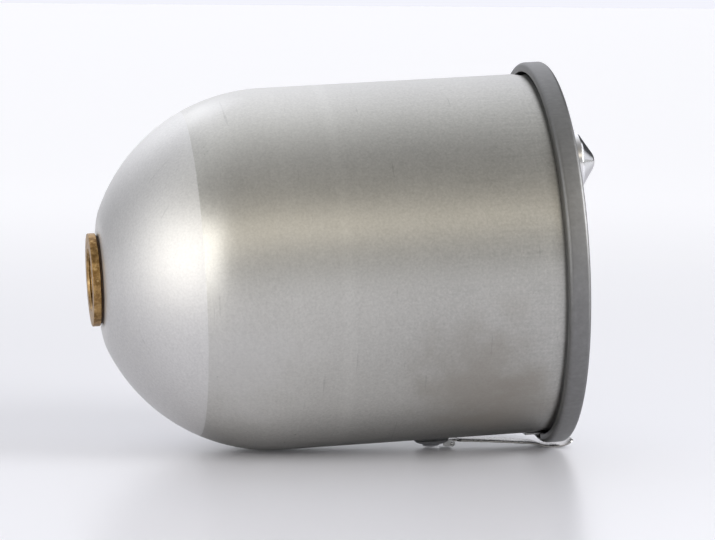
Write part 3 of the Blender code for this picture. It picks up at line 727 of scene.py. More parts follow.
def weavingTree():
    # round wires woven over and under each other, cut to a disc with a hole in its middle
    sizes = ("Radius", "Hole", "Pitch", "Wire", "Crimp")
    sockets = {**{size: "Float" for size in sizes}, "Wires": "Int", "Sides": "Int", "Material": "Material"}
    tree, given, end = newTree("weaving", sockets)
    reach = maths(tree, "MULTIPLY", given["Pitch"], maths(tree, "MULTIPLY", given["Wires"], 0.5))
    count = maths(tree, "MULTIPLY_ADD", given["Wires"], 4.0, 1.0)
    step = maths(tree, "MULTIPLY", given["Pitch"], 0.25)
    low = maths(tree, "MULTIPLY", reach, -1.0)
    layers = node(tree, "GeometryNodeJoinGeometry")
    for lengthwise in (True, False):
        def onAxes(run, side):
            x, y = (run, side) if lengthwise else (side, run)
            return node(tree, "ShaderNodeCombineXYZ", X=x, Y=y).outputs[0]

        run = node(tree, "GeometryNodeMeshLine", Count=count, Start_Location=onAxes(low, 0.0),
                   Offset=onAxes(step, 0.0))
        sides = node(tree, "GeometryNodeMeshLine", Count=maths(tree, "ADD", given["Wires"], 1.0),
                     Start_Location=onAxes(0.0, low), Offset=onAxes(0.0, given["Pitch"]))
        laid = node(tree, "GeometryNodeInstanceOnPoints", Points=sides.outputs[0], Instance=run.outputs[0])
        wires = node(tree, "GeometryNodeRealizeInstances", Geometry=laid.outputs[0])
        place = position(tree)
        both = maths(tree, "ADD", place.outputs["X"], place.outputs["Y"])
        turn = maths(tree, "MULTIPLY", maths(tree, "DIVIDE", both, given["Pitch"]), pi)
        lift = maths(tree, "MULTIPLY", maths(tree, "COSINE", turn), given["Crimp"])
        if not lengthwise:
            lift = maths(tree, "MULTIPLY", lift, -1.0)
        crimped = node(tree, "GeometryNodeSetPosition", Geometry=wires.outputs[0],
                       Offset=node(tree, "ShaderNodeCombineXYZ", Z=lift).outputs[0])
        tree.links.new(crimped.outputs[0], layers.inputs[0])
    away = awayFromAxis(tree, position(tree))
    spare = maths(tree, "MAXIMUM", maths(tree, "GREATER_THAN", away, given["Radius"]),
                  maths(tree, "LESS_THAN", away, given["Hole"]))
    kept = node(tree, "GeometryNodeDeleteGeometry", Geometry=layers.outputs[0], Selection=spare)
    lines = node(tree, "GeometryNodeMeshToCurve", Mesh=kept.outputs[0])
    closeTree(tree, end, drawn(tree, lines.outputs[0], given["Sides"], given["Wire"]), given["Material"])
    return tree


def bendingTree():
    # a round wire along a line
    tree, given, end = newTree("bending", {"Wire": "Float", "Sides": "Int", "Material": "Material"})
    line = node(tree, "GeometryNodeMeshToCurve", Mesh=given["Geometry"])
    closeTree(tree, end, drawn(tree, line.outputs[0], given["Sides"], given["Wire"]), given["Material"])
    return tree


def tanglingTree():
    # curls of thin wire strewn over a disc
    sizes = ("Radius", "Curl", "Wire", "Depth")
    sockets = {**{size: "Float" for size in sizes}, "Curls": "Int", "Seed": "Int", "Material": "Material"}
    tree, given, end = newTree("tangling", sockets)
    number = node(tree, "GeometryNodeInputIndex").outputs[0]
    points = node(tree, "GeometryNodePoints", Count=given["Curls"])

    def chance(low, high, extra):
        made = node(tree, "FunctionNodeRandomValue", {"data_type": "FLOAT"}, ID=number,
                    Seed=maths(tree, "ADD", given["Seed"], extra))
        made.inputs[2].default_value = low
        made.inputs[3].default_value = high
        return made.outputs[1]

    turn = chance(0.0, tau, 1.0)
    away = maths(tree, "MULTIPLY", maths(tree, "SQRT", chance(0.0, 1.0, 2.0)), given["Radius"])
    spot = node(tree, "ShaderNodeCombineXYZ", X=maths(tree, "MULTIPLY", away, maths(tree, "COSINE", turn)),
                Y=maths(tree, "MULTIPLY", away, maths(tree, "SINE", turn)),
                Z=maths(tree, "MULTIPLY", chance(-1.0, 1.0, 3.0), given["Depth"]))
    tree.links.new(spot.outputs[0], points.inputs["Position"])
    curl = node(tree, "GeometryNodeCurveSpiral", Resolution=13, Rotations=1.3, Start_Radius=given["Curl"],
                End_Radius=maths(tree, "MULTIPLY", given["Curl"], 0.6), Height=given["Depth"])
    tilt = node(tree, "ShaderNodeCombineXYZ", X=chance(-0.45, 0.45, 4.0), Y=chance(-0.45, 0.45, 5.0),
                Z=chance(0.0, tau, 6.0))
    size = node(tree, "ShaderNodeCombineXYZ", X=chance(0.6, 1.3, 7.0), Y=chance(0.6, 1.3, 8.0), Z=1.0)
    strewn = node(tree, "GeometryNodeInstanceOnPoints", Points=points.outputs[0], Instance=curl.outputs[0],
                  Rotation=tilt.outputs[0], Scale=size.outputs[0])
    real = node(tree, "GeometryNodeRealizeInstances", Geometry=strewn.outputs[0])
    closeTree(tree, end, drawn(tree, real.outputs[0], 4, given["Wire"]), given["Material"])
    return tree


def threadingTree():
    # cuts a screw thread into the points between two radii and two distances, on a piece turned round Z
    sizes = ("Pitch", "Depth", "Least Radius", "Most Radius", "Start", "End")
    tree, given, end = newTree("threading", {**{size: "Float" for size in sizes}, "Material": "Material"})
    place = position(tree)
    radius = awayFromAxis(tree, place)
    angle = maths(tree, "ARCTAN2", place.outputs["Y"], place.outputs["X"])
    turnsAlong = maths(tree, "DIVIDE", place.outputs["Z"], given["Pitch"])
    phase = maths(tree, "MULTIPLY_ADD", angle, 1 / tau, turnsAlong)
    flank = between(tree, maths(tree, "PINGPONG", phase, 0.5), 0.08, 0.42)
    inside = maths(tree, "MULTIPLY", maths(tree, "GREATER_THAN", radius, given["Least Radius"]),
                   maths(tree, "LESS_THAN", radius, given["Most Radius"]))
    pastStart = maths(tree, "SUBTRACT", place.outputs["Z"], given["Start"])
    fromStart = maths(tree, "DIVIDE", pastStart, given["Pitch"])
    fromEnd = maths(tree, "DIVIDE", maths(tree, "SUBTRACT", given["End"], place.outputs["Z"]), given["Pitch"])
    fade = between(tree, maths(tree, "MINIMUM", fromStart, fromEnd), 0.0, 0.9)
    depth = maths(tree, "MULTIPLY", fade, given["Depth"])
    amount = maths(tree, "MULTIPLY", maths(tree, "MULTIPLY", flank, inside), depth)
    outward = node(tree, "ShaderNodeVectorMath", {"operation": "NORMALIZE"},
                   n0=node(tree, "ShaderNodeCombineXYZ", X=place.outputs["X"],
                            Y=place.outputs["Y"]).outputs[0])
    shift = node(tree, "ShaderNodeVectorMath", {"operation": "SCALE"}, n0=outward.outputs[0], Scale=amount)
    moved = node(tree, "GeometryNodeSetPosition", Geometry=given["Geometry"], Offset=shift.outputs[0])
    closeTree(tree, end, moved.outputs[0], given["Material"])
    return tree


stamping = stampingTree()
perforating = perforatingTree()
weaving = weavingTree()
bending = bendingTree()
tangling = tanglingTree()
threading = threadingTree()


def eased(name, mesh, width, place=None, segments=2):
    # a narrow bevel along the sharp edges of a stamped or cut piece
    shape = bmesh.new()
    shape.from_mesh(mesh)
    bpy.data.meshes.remove(mesh)
    bmesh.ops.remove_doubles(shape, verts=shape.verts, dist=1e-7)
    bmesh.ops.recalc_face_normals(shape, faces=shape.faces)
    sharp = [edge for edge in shape.edges
             if len(edge.link_faces) == 2 and edge.calc_face_angle() > radians(60)]
    bmesh.ops.bevel(shape, geom=sharp, offset=width, segments=segments, affect="EDGES", clamp_overlap=True)
    return meshOf(name, shape, place)


def stamped(name, loops, start, end, edge, place=None, finish="plated"):
    flat = bpy.data.meshes.new(name)
    points, edges = [], []
    for loop in loops:
        first = len(points)
        points += [(x, y, 0) for x, y in loop]
        edges += [(first + i, first + (i + 1) % len(loop)) for i in range(len(loop))]
    flat.from_pydata(points, edges, [])
    mesh = grown(name, stamping, flat, {"Thickness": end - start, "Material": finishes[finish]})
    mesh.transform(Matrix.Translation((0, 0, start)))
    if edge <= 0:
        if place is not None:
            mesh.transform(place)
        return mesh
    return eased(name, mesh, edge, place)


def cut(mesh, operation, *tools):
    # exact Booleans with meshes that are in the same place
    base = bpy.data.objects.new("base", mesh)
    bpy.context.scene.collection.objects.link(base)
    helpers = []
    for tool in tools:
        helper = bpy.data.objects.new("tool", tool)
        bpy.context.scene.collection.objects.link(helper)
        helpers.append(helper)
        boolean = base.modifiers.new("cut", "BOOLEAN")
        boolean.operation = operation
        boolean.solver = "EXACT"
        boolean.object = helper
    made = bpy.data.meshes.new_from_object(base.evaluated_get(bpy.context.evaluated_depsgraph_get()))
    for helper in helpers + [base]:
        bpy.data.objects.remove(helper)
    return made


def block(low, high):
    shape = bmesh.new()
    bmesh.ops.create_cube(shape, size=1)
    for vert in shape.verts:
        vert.co = [(a + b) / 2 + (b - a) * c for a, b, c in zip(low, high, vert.co)]
    return meshOf("block", shape)


def strip(name, line, widths, thickness, edge):
    # a bent strip of sheet: its centreline is (distance, height) points, and a width goes with each
    shape = bmesh.new()
    rings = []
    for i, ((distance, height), width) in enumerate(zip(line, widths)):
        back = Vector(line[max(i - 1, 0)])
        ahead = Vector(line[min(i + 1, len(line) - 1)])
        run = (ahead - back).normalized()
        half, deep = width / 2, thickness / 2
        corners = [(-half, -deep, edge), (half, -deep, edge), (half, deep, edge), (-half, deep, edge)]
        section = rounded(corners, steps=2)
        ring = []
        for across, off in section:
            spot = (bushX + distance - run.y * off, across, axisZ + height + run.x * off)
            ring.append(shape.verts.new(spot))
        rings.append(ring)
    for first, second in zip(rings, rings[1:]):
        count = len(first)
        for k in range(count):
            shape.faces.new((first[k], first[(k + 1) % count], second[(k + 1) % count], second[k]))
    shape.faces.new(rings[0])
    shape.faces.new(rings[-1][::-1])
    return meshOf(name, shape)


# the cup
cup = {
    "radius": 50.0 * mm, "sheet": 1.0 * mm, "domeCentre": 49.9 * mm,
    "seat": 2.8 * mm, "seatFillet": 15.0 * mm, "hole": 10.8 * mm, "mouth": 126.4 * mm, "steps": 256,
}


def cupSide(inset, steps):
    radius = cup["radius"] - inset
    fillet = cup["seatFillet"] - inset
    reach = cup["radius"] - cup["seatFillet"]
    seatRadius = sqrt(reach ** 2 - (cup["domeCentre"] - cup["seat"] - cup["seatFillet"]) ** 2)
    meeting = asin(seatRadius / reach)
    side = []
    for i in range(steps + 1):
        angle = pi / 2 + (meeting - pi / 2) * i / steps
        side.append((cup["domeCentre"] - radius * cos(angle), radius * sin(angle)))
    for i in range(1, 13):
        angle = meeting * (1 - i / 12)
        side.append((cup["seat"] + cup["seatFillet"] - fillet * cos(angle), seatRadius + fillet * sin(angle)))
    return side


def makeCup():
    sheet = cup["sheet"]
    hole = cup["hole"]
    mouth = cup["mouth"]
    outer = cup["radius"]
    wall = [(mouth - sheet * 0.5 + sheet * 0.5 * sin(t), outer - sheet * 0.5 - sheet * 0.5 * cos(t))
            for t in [pi * (1 - k / 8) for k in range(9)]]
    straight = [mouth - 6 * mm, mouth - 20 * mm, mouth - 40 * mm, mouth - 60 * mm]
    outline = wall + [(x, outer) for x in straight] + cupSide(0, 72)
    outline += [(cup["seat"], hole + 0.1 * mm), (cup["seat"] + 0.1 * mm, hole)]
    outline += [(cup["seat"] + sheet - 0.1 * mm, hole), (cup["seat"] + sheet, hole + 0.1 * mm)]
    outline += cupSide(sheet, 60)[::-1] + [(x, outer - sheet) for x in straight[::-1]]
    mesh = turned("cupShell", outline, cup["steps"], aroundX())
    mesh.materials.clear()
    for key in ("barrel", "dome", "inside"):
        mesh.materials.append(finishes[key])
    line = bushX + cupLook["finishLine"]
    for face in mesh.polygons:
        away = Vector((0, face.center.y, face.center.z - axisZ))
        outward = face.normal.dot(away.normalized() + Vector((-0.4, 0, 0))) > 0
        face.material_index = 2 if not outward else (1 if face.center.x < line else 0)
    shown("cupShell", mesh, None, "housing", "body_steel", "housing_shell")


makeCup()
note("cup is turned")


# the outlet bush and what clamps it
bush = {
    "flange": 12.8 * mm, "flangeDepth": 2.1 * mm, "shank": 10.4 * mm, "end": 13.2 * mm, "bore": 8.2 * mm,
    "lead": 0.6 * mm, "edge": 0.22 * mm, "pitch": 1.337 * mm, "threadDepth": 0.60 * mm, "steps": 144,
    "shankDepth": 0.45 * mm, "tip": 0.3 * mm, "step": 0.11 * mm,
    "mark": (1.15 * mm, -75.0, 0.42 * mm),      # distance, degrees round the axis, radius
    "clamp": 13.4 * mm, "hole": 10.8 * mm, "washer": 12.1 * mm, "flats": 26.0 * mm,
}


def threaded(name, mesh, pitch, depth, low, high, start, end, finish):
    values = {"Pitch": pitch, "Depth": depth, "Least Radius": low, "Most Radius": high,
              "Start": start, "End": end, "Material": finishes[finish]}
    return grown(name, threading, mesh, values)


def dense(first, last, radius, step):
    count = max(2, round(abs(last - first) / step))
    return [(first + (last - first) * i / count, radius) for i in range(count + 1)]


def nut(name, flats, start, end, hole, place, finish, chamfer=0.12):
    corner = flats / sqrt(3)
    body = stamped(name, [circle(corner, 6), circle(hole, 48)], start, end, 0, None, finish)
    fall = corner - flats / 2 * (1 + chamfer * 0.2)
    cone = [(start, 0), (start, corner - fall), (start + fall * 0.6, corner + 0.1 * mm),
            (end - fall * 0.6, corner + 0.1 * mm), (end, corner - fall), (end, 0)]
    mesh = cut(body, "INTERSECT", turned("cone", cone, 96, None, finish))
    return eased(name, mesh, 0.08 * mm, place)


def makeBush():
    end, bore, flange, shank = bush["end"], bush["bore"], bush["flange"], bush["shank"]
    tip, pitch = bush["tip"], bush["pitch"]
    corners = [(end, bore + tip), (end, shank - tip)]
    corners += dense(end - tip, bush["flangeDepth"], shank, bush["step"])
    corners += rounded([
        (bush["flangeDepth"], shank), (bush["flangeDepth"], flange, bush["edge"]),
        (0, flange, bush["edge"]), (0, bore + bush["lead"], 0.08 * mm), (bush["lead"], bore),
    ], closed=False, steps=4)[1:]
    corners += dense(bush["lead"], end - tip, bore, bush["step"])[1:]
    mesh = turned("outletBush", corners, bush["steps"], None, "brass")
    near = 0.05 * mm
    mesh = threaded("outletBush", mesh, pitch, bush["threadDepth"], 0.0, bore + 0.1 * mm, tip, end, "brass")
    mesh = threaded("outletBush", mesh, pitch, -bush["shankDepth"], shank - near, shank + near,
                    bush["flangeDepth"] + 1.5 * mm, end + 0.4 * mm, "brass")
    distance, degrees, radius = bush["mark"]
    ball = bmesh.new()
    bmesh.ops.create_icosphere(ball, subdivisions=3, radius=radius)
    across, height = polar(flange + radius * 0.55, radians(degrees))
    punch = meshOf("punch", ball, Matrix.Translation((across, height, distance)))
    mesh = cut(mesh, "DIFFERENCE", punch)
    mesh.transform(aroundX())
    shown("outletBush", mesh, "brass", "housing", "bush_brass", "outlet_bush", sharp=28)

    for name, source, finish, outer in (
        ("outletWasher", "outlet_washer", "fibre", bush["washer"]),
        ("innerSealWasher", "inner_seal_washer", "fibre", bush["clamp"]),
        ("bushLockWasher", "bush_lock_washer", "spring", bush["clamp"]),
    ):
        start, end = along(source)
        mesh = washer(name, start, end, bush["hole"], outer, 0.08 * mm, 96, aroundX(), finish)
        shown(name, mesh, finish, "housing", "fibre" if finish == "fibre" else "spring_steel", source)
    start, end = along("bush_locknut")
    mesh = nut("bushLocknut", bush["flats"], start, end, bush["hole"], aroundX(), "brass")
    shown("bushLocknut", mesh, "brass", "housing", "bush_brass", "bush_locknut")


# the filter pack
pack = {
    "disc": 48.2 * mm, "middleHole": 12.0 * mm, "hole": 11.2 * mm, "holeRing": 31.5 * mm, "holes": 7,
    "screen": 47.9 * mm, "screenPitch": 2.1 * mm, "screenWire": 0.15 * mm, "screenWires": 46,
    "pad": 47.5 * mm, "curl": 2.6 * mm, "curls": 640, "curlWire": 0.10 * mm, "skin": 0.9 * mm,
    "wire": 1.0 * mm, "ring": 47.4 * mm, "gap": 34.0,
}


def screen(name, source, body, radius, hole, pitch, wires, wire, edge):
    # woven wire with a rolled wire along its rim
    start, end = along(source)
    values = {"Radius": radius - edge, "Hole": hole, "Pitch": pitch, "Wire": wire, "Crimp": wire * 0.85,
              "Wires": wires, "Sides": 5, "Material": finishes["wire"]}
    woven = grown(name, weaving, bpy.data.meshes.new(name), values)
    rims = [radius - edge] + ([hole] if hole else [])
    parts = [woven]
    for rim in rims:
        section = circle(edge, 12, (0, rim))
        parts.append(turned(name + "Rim", section, 160, None, "wire"))
    mesh = joined(name, parts)
    mesh.transform(aroundX((start + end) / 2))
    shown(name, mesh, "wire", body, "wire_mesh", source, sharp=60)


def makeFilter():
    discs = (("rearSupportDisc", "rear_support_disc"), ("frontSupportDisc", "front_support_disc"))
    for name, source in discs:
        start, end = along(source)
        values = {"Radius": pack["disc"], "Middle Hole": pack["middleHole"], "Hole": pack["hole"],
                  "Hole Ring": pack["holeRing"], "Thickness": end - start, "Holes": pack["holes"],
                  "Steps": 56, "Material": finishes["plated"]}
        flat = grown(name, perforating, bpy.data.meshes.new(name), values)
        mesh = eased(name, flat, 0.14 * mm, aroundX(start))
        shown(name, mesh, "plated", "housing", "plated_steel", source)
    for name, source in (("rearScreen", "rear_screen"), ("frontScreen", "front_screen")):
        screen(name, source, "housing", pack["screen"], 0.0, pack["screenPitch"], pack["screenWires"],
               pack["screenWire"], 0.28 * mm)

    start, end = along("filter_element")
    skin = pack["skin"]
    core = washer("core", start + skin, end - skin, 0.0, pack["pad"] - 0.3 * mm, 1.2 * mm, 128, None,
                  "padCore")
    parts = [core]
    for k, place in enumerate((start + 0.55 * mm, end - 0.55 * mm)):
        values = {"Radius": pack["pad"] - 2.8 * mm, "Curl": pack["curl"], "Wire": pack["curlWire"],
                  "Depth": 0.30 * mm, "Curls": pack["curls"], "Seed": 40 + 11 * k,
                  "Material": finishes["padWire"]}
        curls = grown("curls", tangling, bpy.data.meshes.new("curls"), values)
        curls.transform(Matrix.Translation((0, 0, place)))
        parts.append(curls)
    mesh = joined("filterPad", parts, ("padCore", "padCore", "padCore"))
    mesh.transform(aroundX())
    shown("filterPad", mesh, None, "housing", "filter_pad", "filter_element", sharp=70)

    low, high = along("retaining_ring")
    half = radians(pack["gap"]) / 2
    line = arc((0, 0), pack["ring"], pi / 2 + half, pi / 2 + tau - half, 120)
    start = bpy.data.meshes.new("retainingRing")
    start.from_pydata([(x, y, 0) for x, y in line], [(i, i + 1) for i in range(len(line) - 1)], [])
    values = {"Wire": pack["wire"], "Sides": 16, "Material": finishes["spring"]}
    mesh = grown("retainingRing", bending, start, values)
    mesh = eased("retainingRing", mesh, 0.2 * mm, aroundX((low + high) / 2))
    shown("retainingRing", mesh, "spring", "housing", "spring_steel", "retaining_ring")


# the cover
cover = {
    "radius": 53.1 * mm, "corner": 1.4 * mm, "hemCorner": 1.7 * mm, "hem": 50.6 * mm, "sheet": 1.0 * mm,
    "bead": (47.3 * mm, 50.9 * mm, 0.45 * mm), "windows": 4,
    "windowInner": 13.0 * mm, "windowOuter": 40.0 * mm,
    "windowHalf": 20.0, "windowRound": 2.2 * mm, "lugNotch": 6.0 * mm, "hole": 2.8 * mm, "steps": 240,
    "gasket": (48.2 * mm, 51.4 * mm), "screen": (41.4 * mm, 6.4 * mm), "screenPitch": 1.75 * mm,
    "screenWire": 0.125 * mm, "flat": (10, 20, 30, 41),
}


def windowLoop(middle, half, inner, outer, corner):
    # a window between two radii, its corners rounded on the unrolled shape
    reference = (inner + outer) / 2
    wide = half * reference
    corners = [(-wide, inner, corner), (wide, inner, corner), (wide, outer, corner), (-wide, outer, corner)]
    loop = rounded(corners, steps=6)
    points = []
    for i, (u, r) in enumerate(loop):
        nextU, nextR = loop[(i + 1) % len(loop)]
        parts = max(1, round(abs(nextU - u) / (0.06 * reference)))
        for k in range(parts):
            angle = middle + (u + (nextU - u) * k / parts) / reference
            points.append(polar(r + (nextR - r) * k / parts, angle))
    return points


def windowLoops(half):
    angles = [radians(45 + 360 / cover["windows"] * i) for i in range(cover["windows"])]
    inner, outer, corner = cover["windowInner"], cover["windowOuter"], cover["windowRound"]
    return [windowLoop(angle, half, inner, outer, corner) for angle in angles]


def makeCover():
    start, end = along("inlet_cover")
    sheet, radius = cover["sheet"], cover["radius"]
    low, high, rise = cover["bead"]

    def bead(face):
        return [(face + rise * sin(pi * k / 14) ** 1.5, low + (high - low) * k / 14) for k in range(15)]

    flat = [radius * mm for radius in cover["flat"]]
    outline = [(end, cover["hole"])] + [(end, r) for r in flat] + bead(end)
    outline += rounded([(end, high + 0.1 * mm), (end, radius, cover["corner"]),
                        (start, radius, cover["hemCorner"]),
                        (start, cover["hem"], 0.12 * mm), (start + sheet, cover["hem"], 0.3 * mm),
                        (start + sheet, radius - sheet), (end - sheet, radius - sheet, 0.45 * mm),
                        (end - sheet, high + 0.1 * mm)], closed=False, steps=8)[1:]
    outline += bead(end - sheet)[::-1] + [(end - sheet, r) for r in flat[::-1]]
    outline.append((end - sheet, cover["hole"]))
    mesh = turned("inletCover", outline, cover["steps"], None, "cover")
    half = radians(cover["windowHalf"])
    tools = [
        stamped("window", [loop], end - 3 * mm, end + 2 * mm, 0, None, "cover")
        for loop in windowLoops(half)
    ]
    mesh = cut(mesh, "DIFFERENCE", *tools)
    mesh = eased("inletCover", mesh, 0.10 * mm, aroundX())
    wide = cover["lugNotch"] / 2
    notch = block((bushX + start - 1 * mm, -wide, axisZ - radius + sheet * 1.02),
                  (bushX + start + sheet + 0.3 * mm, wide, axisZ - 49 * mm))
    mesh = cut(mesh, "DIFFERENCE", notch)
    shown("inletCover", mesh, "cover", "cover", "cover_steel", "inlet_cover", sharp=30)

    start, end = along("cover_gasket")
    mesh = washer("coverGasket", start, end, *cover["gasket"], 0.3 * mm, 200, aroundX(), "rubber")
    shown("coverGasket", mesh, "rubber", "cover", "rubber", "cover_gasket")
    screen("inletScreen", "inlet_screen", "cover", *cover["screen"], cover["screenPitch"], 46,
           cover["screenWire"], 0.24 * mm)


# the choke
choke = {
    "radius": 43.0 * mm, "turn": 45.0, "stopAngle": 270.0, "stopCentre": 43.4 * mm, "stopRadius": 1.2 * mm,
    "slack": 1.5 * mm, "knobCentre": 24.6 * mm, "knob": 8.2 * mm, "neck": 4.2 * mm, "nose": 4.5 * mm,
    "flank": 34.0, "rivet": 1.9 * mm, "rivetDepth": 6.0 * mm, "pivot": 2.5 * mm, "pivotHead": 5.0 * mm,
    "pitch": 0.8 * mm, "washer": 5.5 * mm, "nutFlats": 8.0 * mm, "stopHead": 2.0 * mm,
}


def makeShutter():
    start, end = along("choke_shutter")
    slack = asin(choke["slack"] / choke["stopCentre"])
    recess = choke["stopCentre"] - choke["slack"]
    first = radians(choke["stopAngle"] - choke["turn"]) - slack
    last = radians(choke["stopAngle"]) + slack
    rim = arc((0, 0), choke["radius"], last, first + tau, 150)
    rim += arc((0, 0), recess, first + tau, last + tau, 26)
    half = radians(cover["windowHalf"] + 1)
    loops = [rim, circle(cover["hole"], 40), circle(choke["rivet"], 28, (0, choke["knobCentre"]))]
    loops += windowLoops(half)
    mesh = stamped("chokeShutter", loops, start, end, 0.12 * mm, aroundX(), "plated")
    shown("chokeShutter", mesh, "plated", "shutter", "plated_steel", "choke_shutter")


def makeKnob():
    base, tip = along("choke_knob")
    flank = radians(choke["flank"])
    radius, neck = choke["knob"], choke["neck"]
    nose = arc((tip - choke["nose"], 0), choke["nose"], 0, flank, 14)
    noseX, noseR = nose[-1]
    shoulder = noseX - (radius - 0.4 * mm - noseR) * tan(flank)
    hole = base + choke["rivetDepth"]
    outline = [(tip, 0)] + nose[1:] + rounded([
        nose[-1], (shoulder, radius - 0.4 * mm, 0.4 * mm), (shoulder - 0.5 * mm, radius, 0.3 * mm),
        (shoulder - 2.0 * mm, radius, 0.4 * mm), (shoulder - 2.6 * mm, radius - 0.8 * mm, 0.3 * mm),
        (shoulder - 3.0 * mm, neck, 0.8 * mm), (base + 0.8 * mm, neck, 0.2 * mm),
        (base, neck + 0.5 * mm, 0.2 * mm),
        (base, choke["rivet"]), (hole, choke["rivet"]), (hole, 0),
    ], closed=False, steps=5)[1:]
    mesh = turned("chokeKnob", outline, 128, aroundX(0, 0, choke["knobCentre"]), "polished")
    shown("chokeKnob", mesh, "polished", "shutter", "polished_steel", "choke_knob")


def makePivot():
    low, high = along("pivot_bolt")
    washerStart, washerEnd = along("pivot_spring_washer")
    head, radius, top = washerEnd + 0.3 * mm, choke["pivotHead"], high - washerEnd - 0.3 * mm
    dome = [(head + top * cos(t) ** 0.7, radius * sin(t)) for t in [pi / 2 * k / 16 for k in range(1, 16)]]
    outline = [(high, 0)] + dome
    outline += [(head + 0.05 * mm, radius), (head, radius - 0.05 * mm), (head, choke["pivot"])]
    outline += dense(head - 0.3 * mm, low + 0.3 * mm, choke["pivot"], 0.09 * mm)
    outline += [(low, choke["pivot"] - 0.3 * mm), (low, 0)]
    mesh = turned("pivotBolt", outline, 64, None, "polished")
    near = 0.05 * mm
    mesh = threaded("pivotBolt", mesh, choke["pitch"], -0.32 * mm, choke["pivot"] - near,
                    choke["pivot"] + near, low - 0.6 * mm, low + 5.0 * mm, "polished")
    slot = block((-6 * mm, -0.55 * mm, high - 0.75 * mm), (6 * mm, 0.55 * mm, high + 1 * mm))
    slot.transform(Matrix.Rotation(radians(24), 4, "Z"))
    mesh = cut(mesh, "DIFFERENCE", slot)
    mesh.transform(aroundX())
    shown("pivotBolt", mesh, "polished", "cover", "polished_steel", "pivot_bolt", sharp=28)

    thin = 0.28 * mm
    hole = cover["hole"]
    mesh = washer("pivotSpringWasher", 0, thin, hole, choke["washer"], 0.06 * mm, 96, None, "spring")
    for vert in mesh.vertices:
        wave = 0.5 + 0.5 * cos(3 * atan2(vert.co.y, vert.co.x))
        vert.co.z += (washerEnd - washerStart - thin) * wave
    mesh.transform(aroundX(washerStart))
    shown("pivotSpringWasher", mesh, "spring", "cover", "spring_steel", "pivot_spring_washer")

    start, end = along("pivot_washer")
    mesh = washer("pivotWasher", start, end, hole, choke["washer"], 0.08 * mm, 72, aroundX(), "plated")
    shown("pivotWasher", mesh, "plated", "cover", "plated_steel", "pivot_washer")
    start, end = along("pivot_nut")
    mesh = nut("pivotNut", choke["nutFlats"], start, end, hole, aroundX(), "plated")
    shown("pivotNut", mesh, "plated", "cover", "plated_steel", "pivot_nut")

    low, high = along("stop_pin")
    radius, headRadius = choke["stopRadius"], choke["stopHead"]
    outline = rounded([(high, 0), (high, radius, 0.25 * mm), (low + 0.6 * mm, radius, 0.05 * mm),
                       (low + 0.6 * mm, headRadius, 0.12 * mm), (low, headRadius, 0.2 * mm), (low, 0)],
                      closed=False, steps=4)
    across, height = polar(choke["stopCentre"], radians(choke["stopAngle"]))
    mesh = turned("stopPin", outline, 48, aroundX(0, across, height), "polished")
    shown("stopPin", mesh, "polished", "cover", "polished_steel", "stop_pin")


# the tongue inside the cover
tongue = {
    "width": 10.0 * mm, "radius": 47.3 * mm, "start": 116.0 * mm, "sheet": 0.6 * mm, "rivet": 45.0 * mm,
    "bend": 0.8 * mm, "leadIn": (0.0, 0.25, 0.5, 0.7, 0.82, 0.92, 0.98, 1.0),
}


def makeTongue():
    face = along("cover_tongue")[1] - tongue["sheet"] / 2
    corner = (face - tongue["bend"], tongue["radius"] - tongue["bend"])
    foot = tongue["rivet"] - 2.6 * mm
    line = [(face, foot + (corner[1] - foot) * k / 5) for k in range(5)]
    line += arc(corner, tongue["bend"], 0, pi / 2, 8)
    line += [(tongue["start"] + x * mm, tongue["radius"]) for x in (7, 5, 3.6)]
    line += [(tongue["start"] + 3.0 * mm * (1 - t), tongue["radius"] - 1.2 * mm * t)
             for t in tongue["leadIn"]]
    reach = 1.6 * mm
    widths = []
    for distance, height in line:
        near = min(height - foot if distance > face - 0.1 * mm else 1, distance - tongue["start"])
        ease = sqrt(max(0.0, 1 - (1 - min(near / reach, 1)) ** 2))
        widths.append(tongue["width"] - 2 * reach * (1 - ease) * 0.95)
    mesh = strip("coverTongue", line, widths, tongue["sheet"], 0.08 * mm)
    shown("coverTongue", mesh, "spring", "cover", "spring_steel", "cover_tongue")
    low, high = along("tongue_rivet")
    end = along("inlet_cover")[1]
    outline = [(high, 0), (high - 0.06 * mm, 0.6 * mm), (high - 0.22 * mm, 1.1 * mm),
               (end + 0.08 * mm, 1.55 * mm), (end + 0.02 * mm, 1.6 * mm), (end, 1.0 * mm),
               (low + 0.5 * mm, 1.0 * mm), (low + 0.5 * mm, 1.5 * mm), (low + 0.3 * mm, 1.55 * mm),
               (low, 1.1 * mm), (low, 0)]
    mesh = turned("tongueRivet", outline, 40, aroundX(0, 0, tongue["rivet"]), "polished")
    shown("tongueRivet", mesh, "polished", "cover", "polished_steel", "tongue_rivet")


# the spring clip under the cup
clip = {
    "base": 5.2 * mm, "baseMiddle": 93.2 * mm, "top": -50.3 * mm, "bottom": -51.6 * mm,
    "rim": 0.42 * mm, "rimEase": 0.06 * mm, "rivet": 1.2 * mm, "rivetMiddle": 92.6 * mm,
    "rivetHead": 2.5 * mm, "rivetDome": 0.74 * mm, "eye": (98.0 * mm, -51.6 * mm), "eyeRadius": 0.65 * mm,
    "eyeWidth": 5.4 * mm, "pin": 0.35 * mm, "ear": 0.6 * mm, "earRadius": 0.85 * mm,
    "leaf": 0.44 * mm, "width": 9.0 * mm, "endRound": 1.6 * mm,
    # the leaf's run from its eye, in millimetres
    "run": ((101.0, -50.98), (111.0, -51.90), (119.0, -52.85), (122.2, -53.45), (124.0, -54.05),
            (125.6, -54.34), (126.7, -54.38), (129.0, -54.25), (130.6, -53.85), (131.7, -53.30),
            (132.3, -52.78)),
}


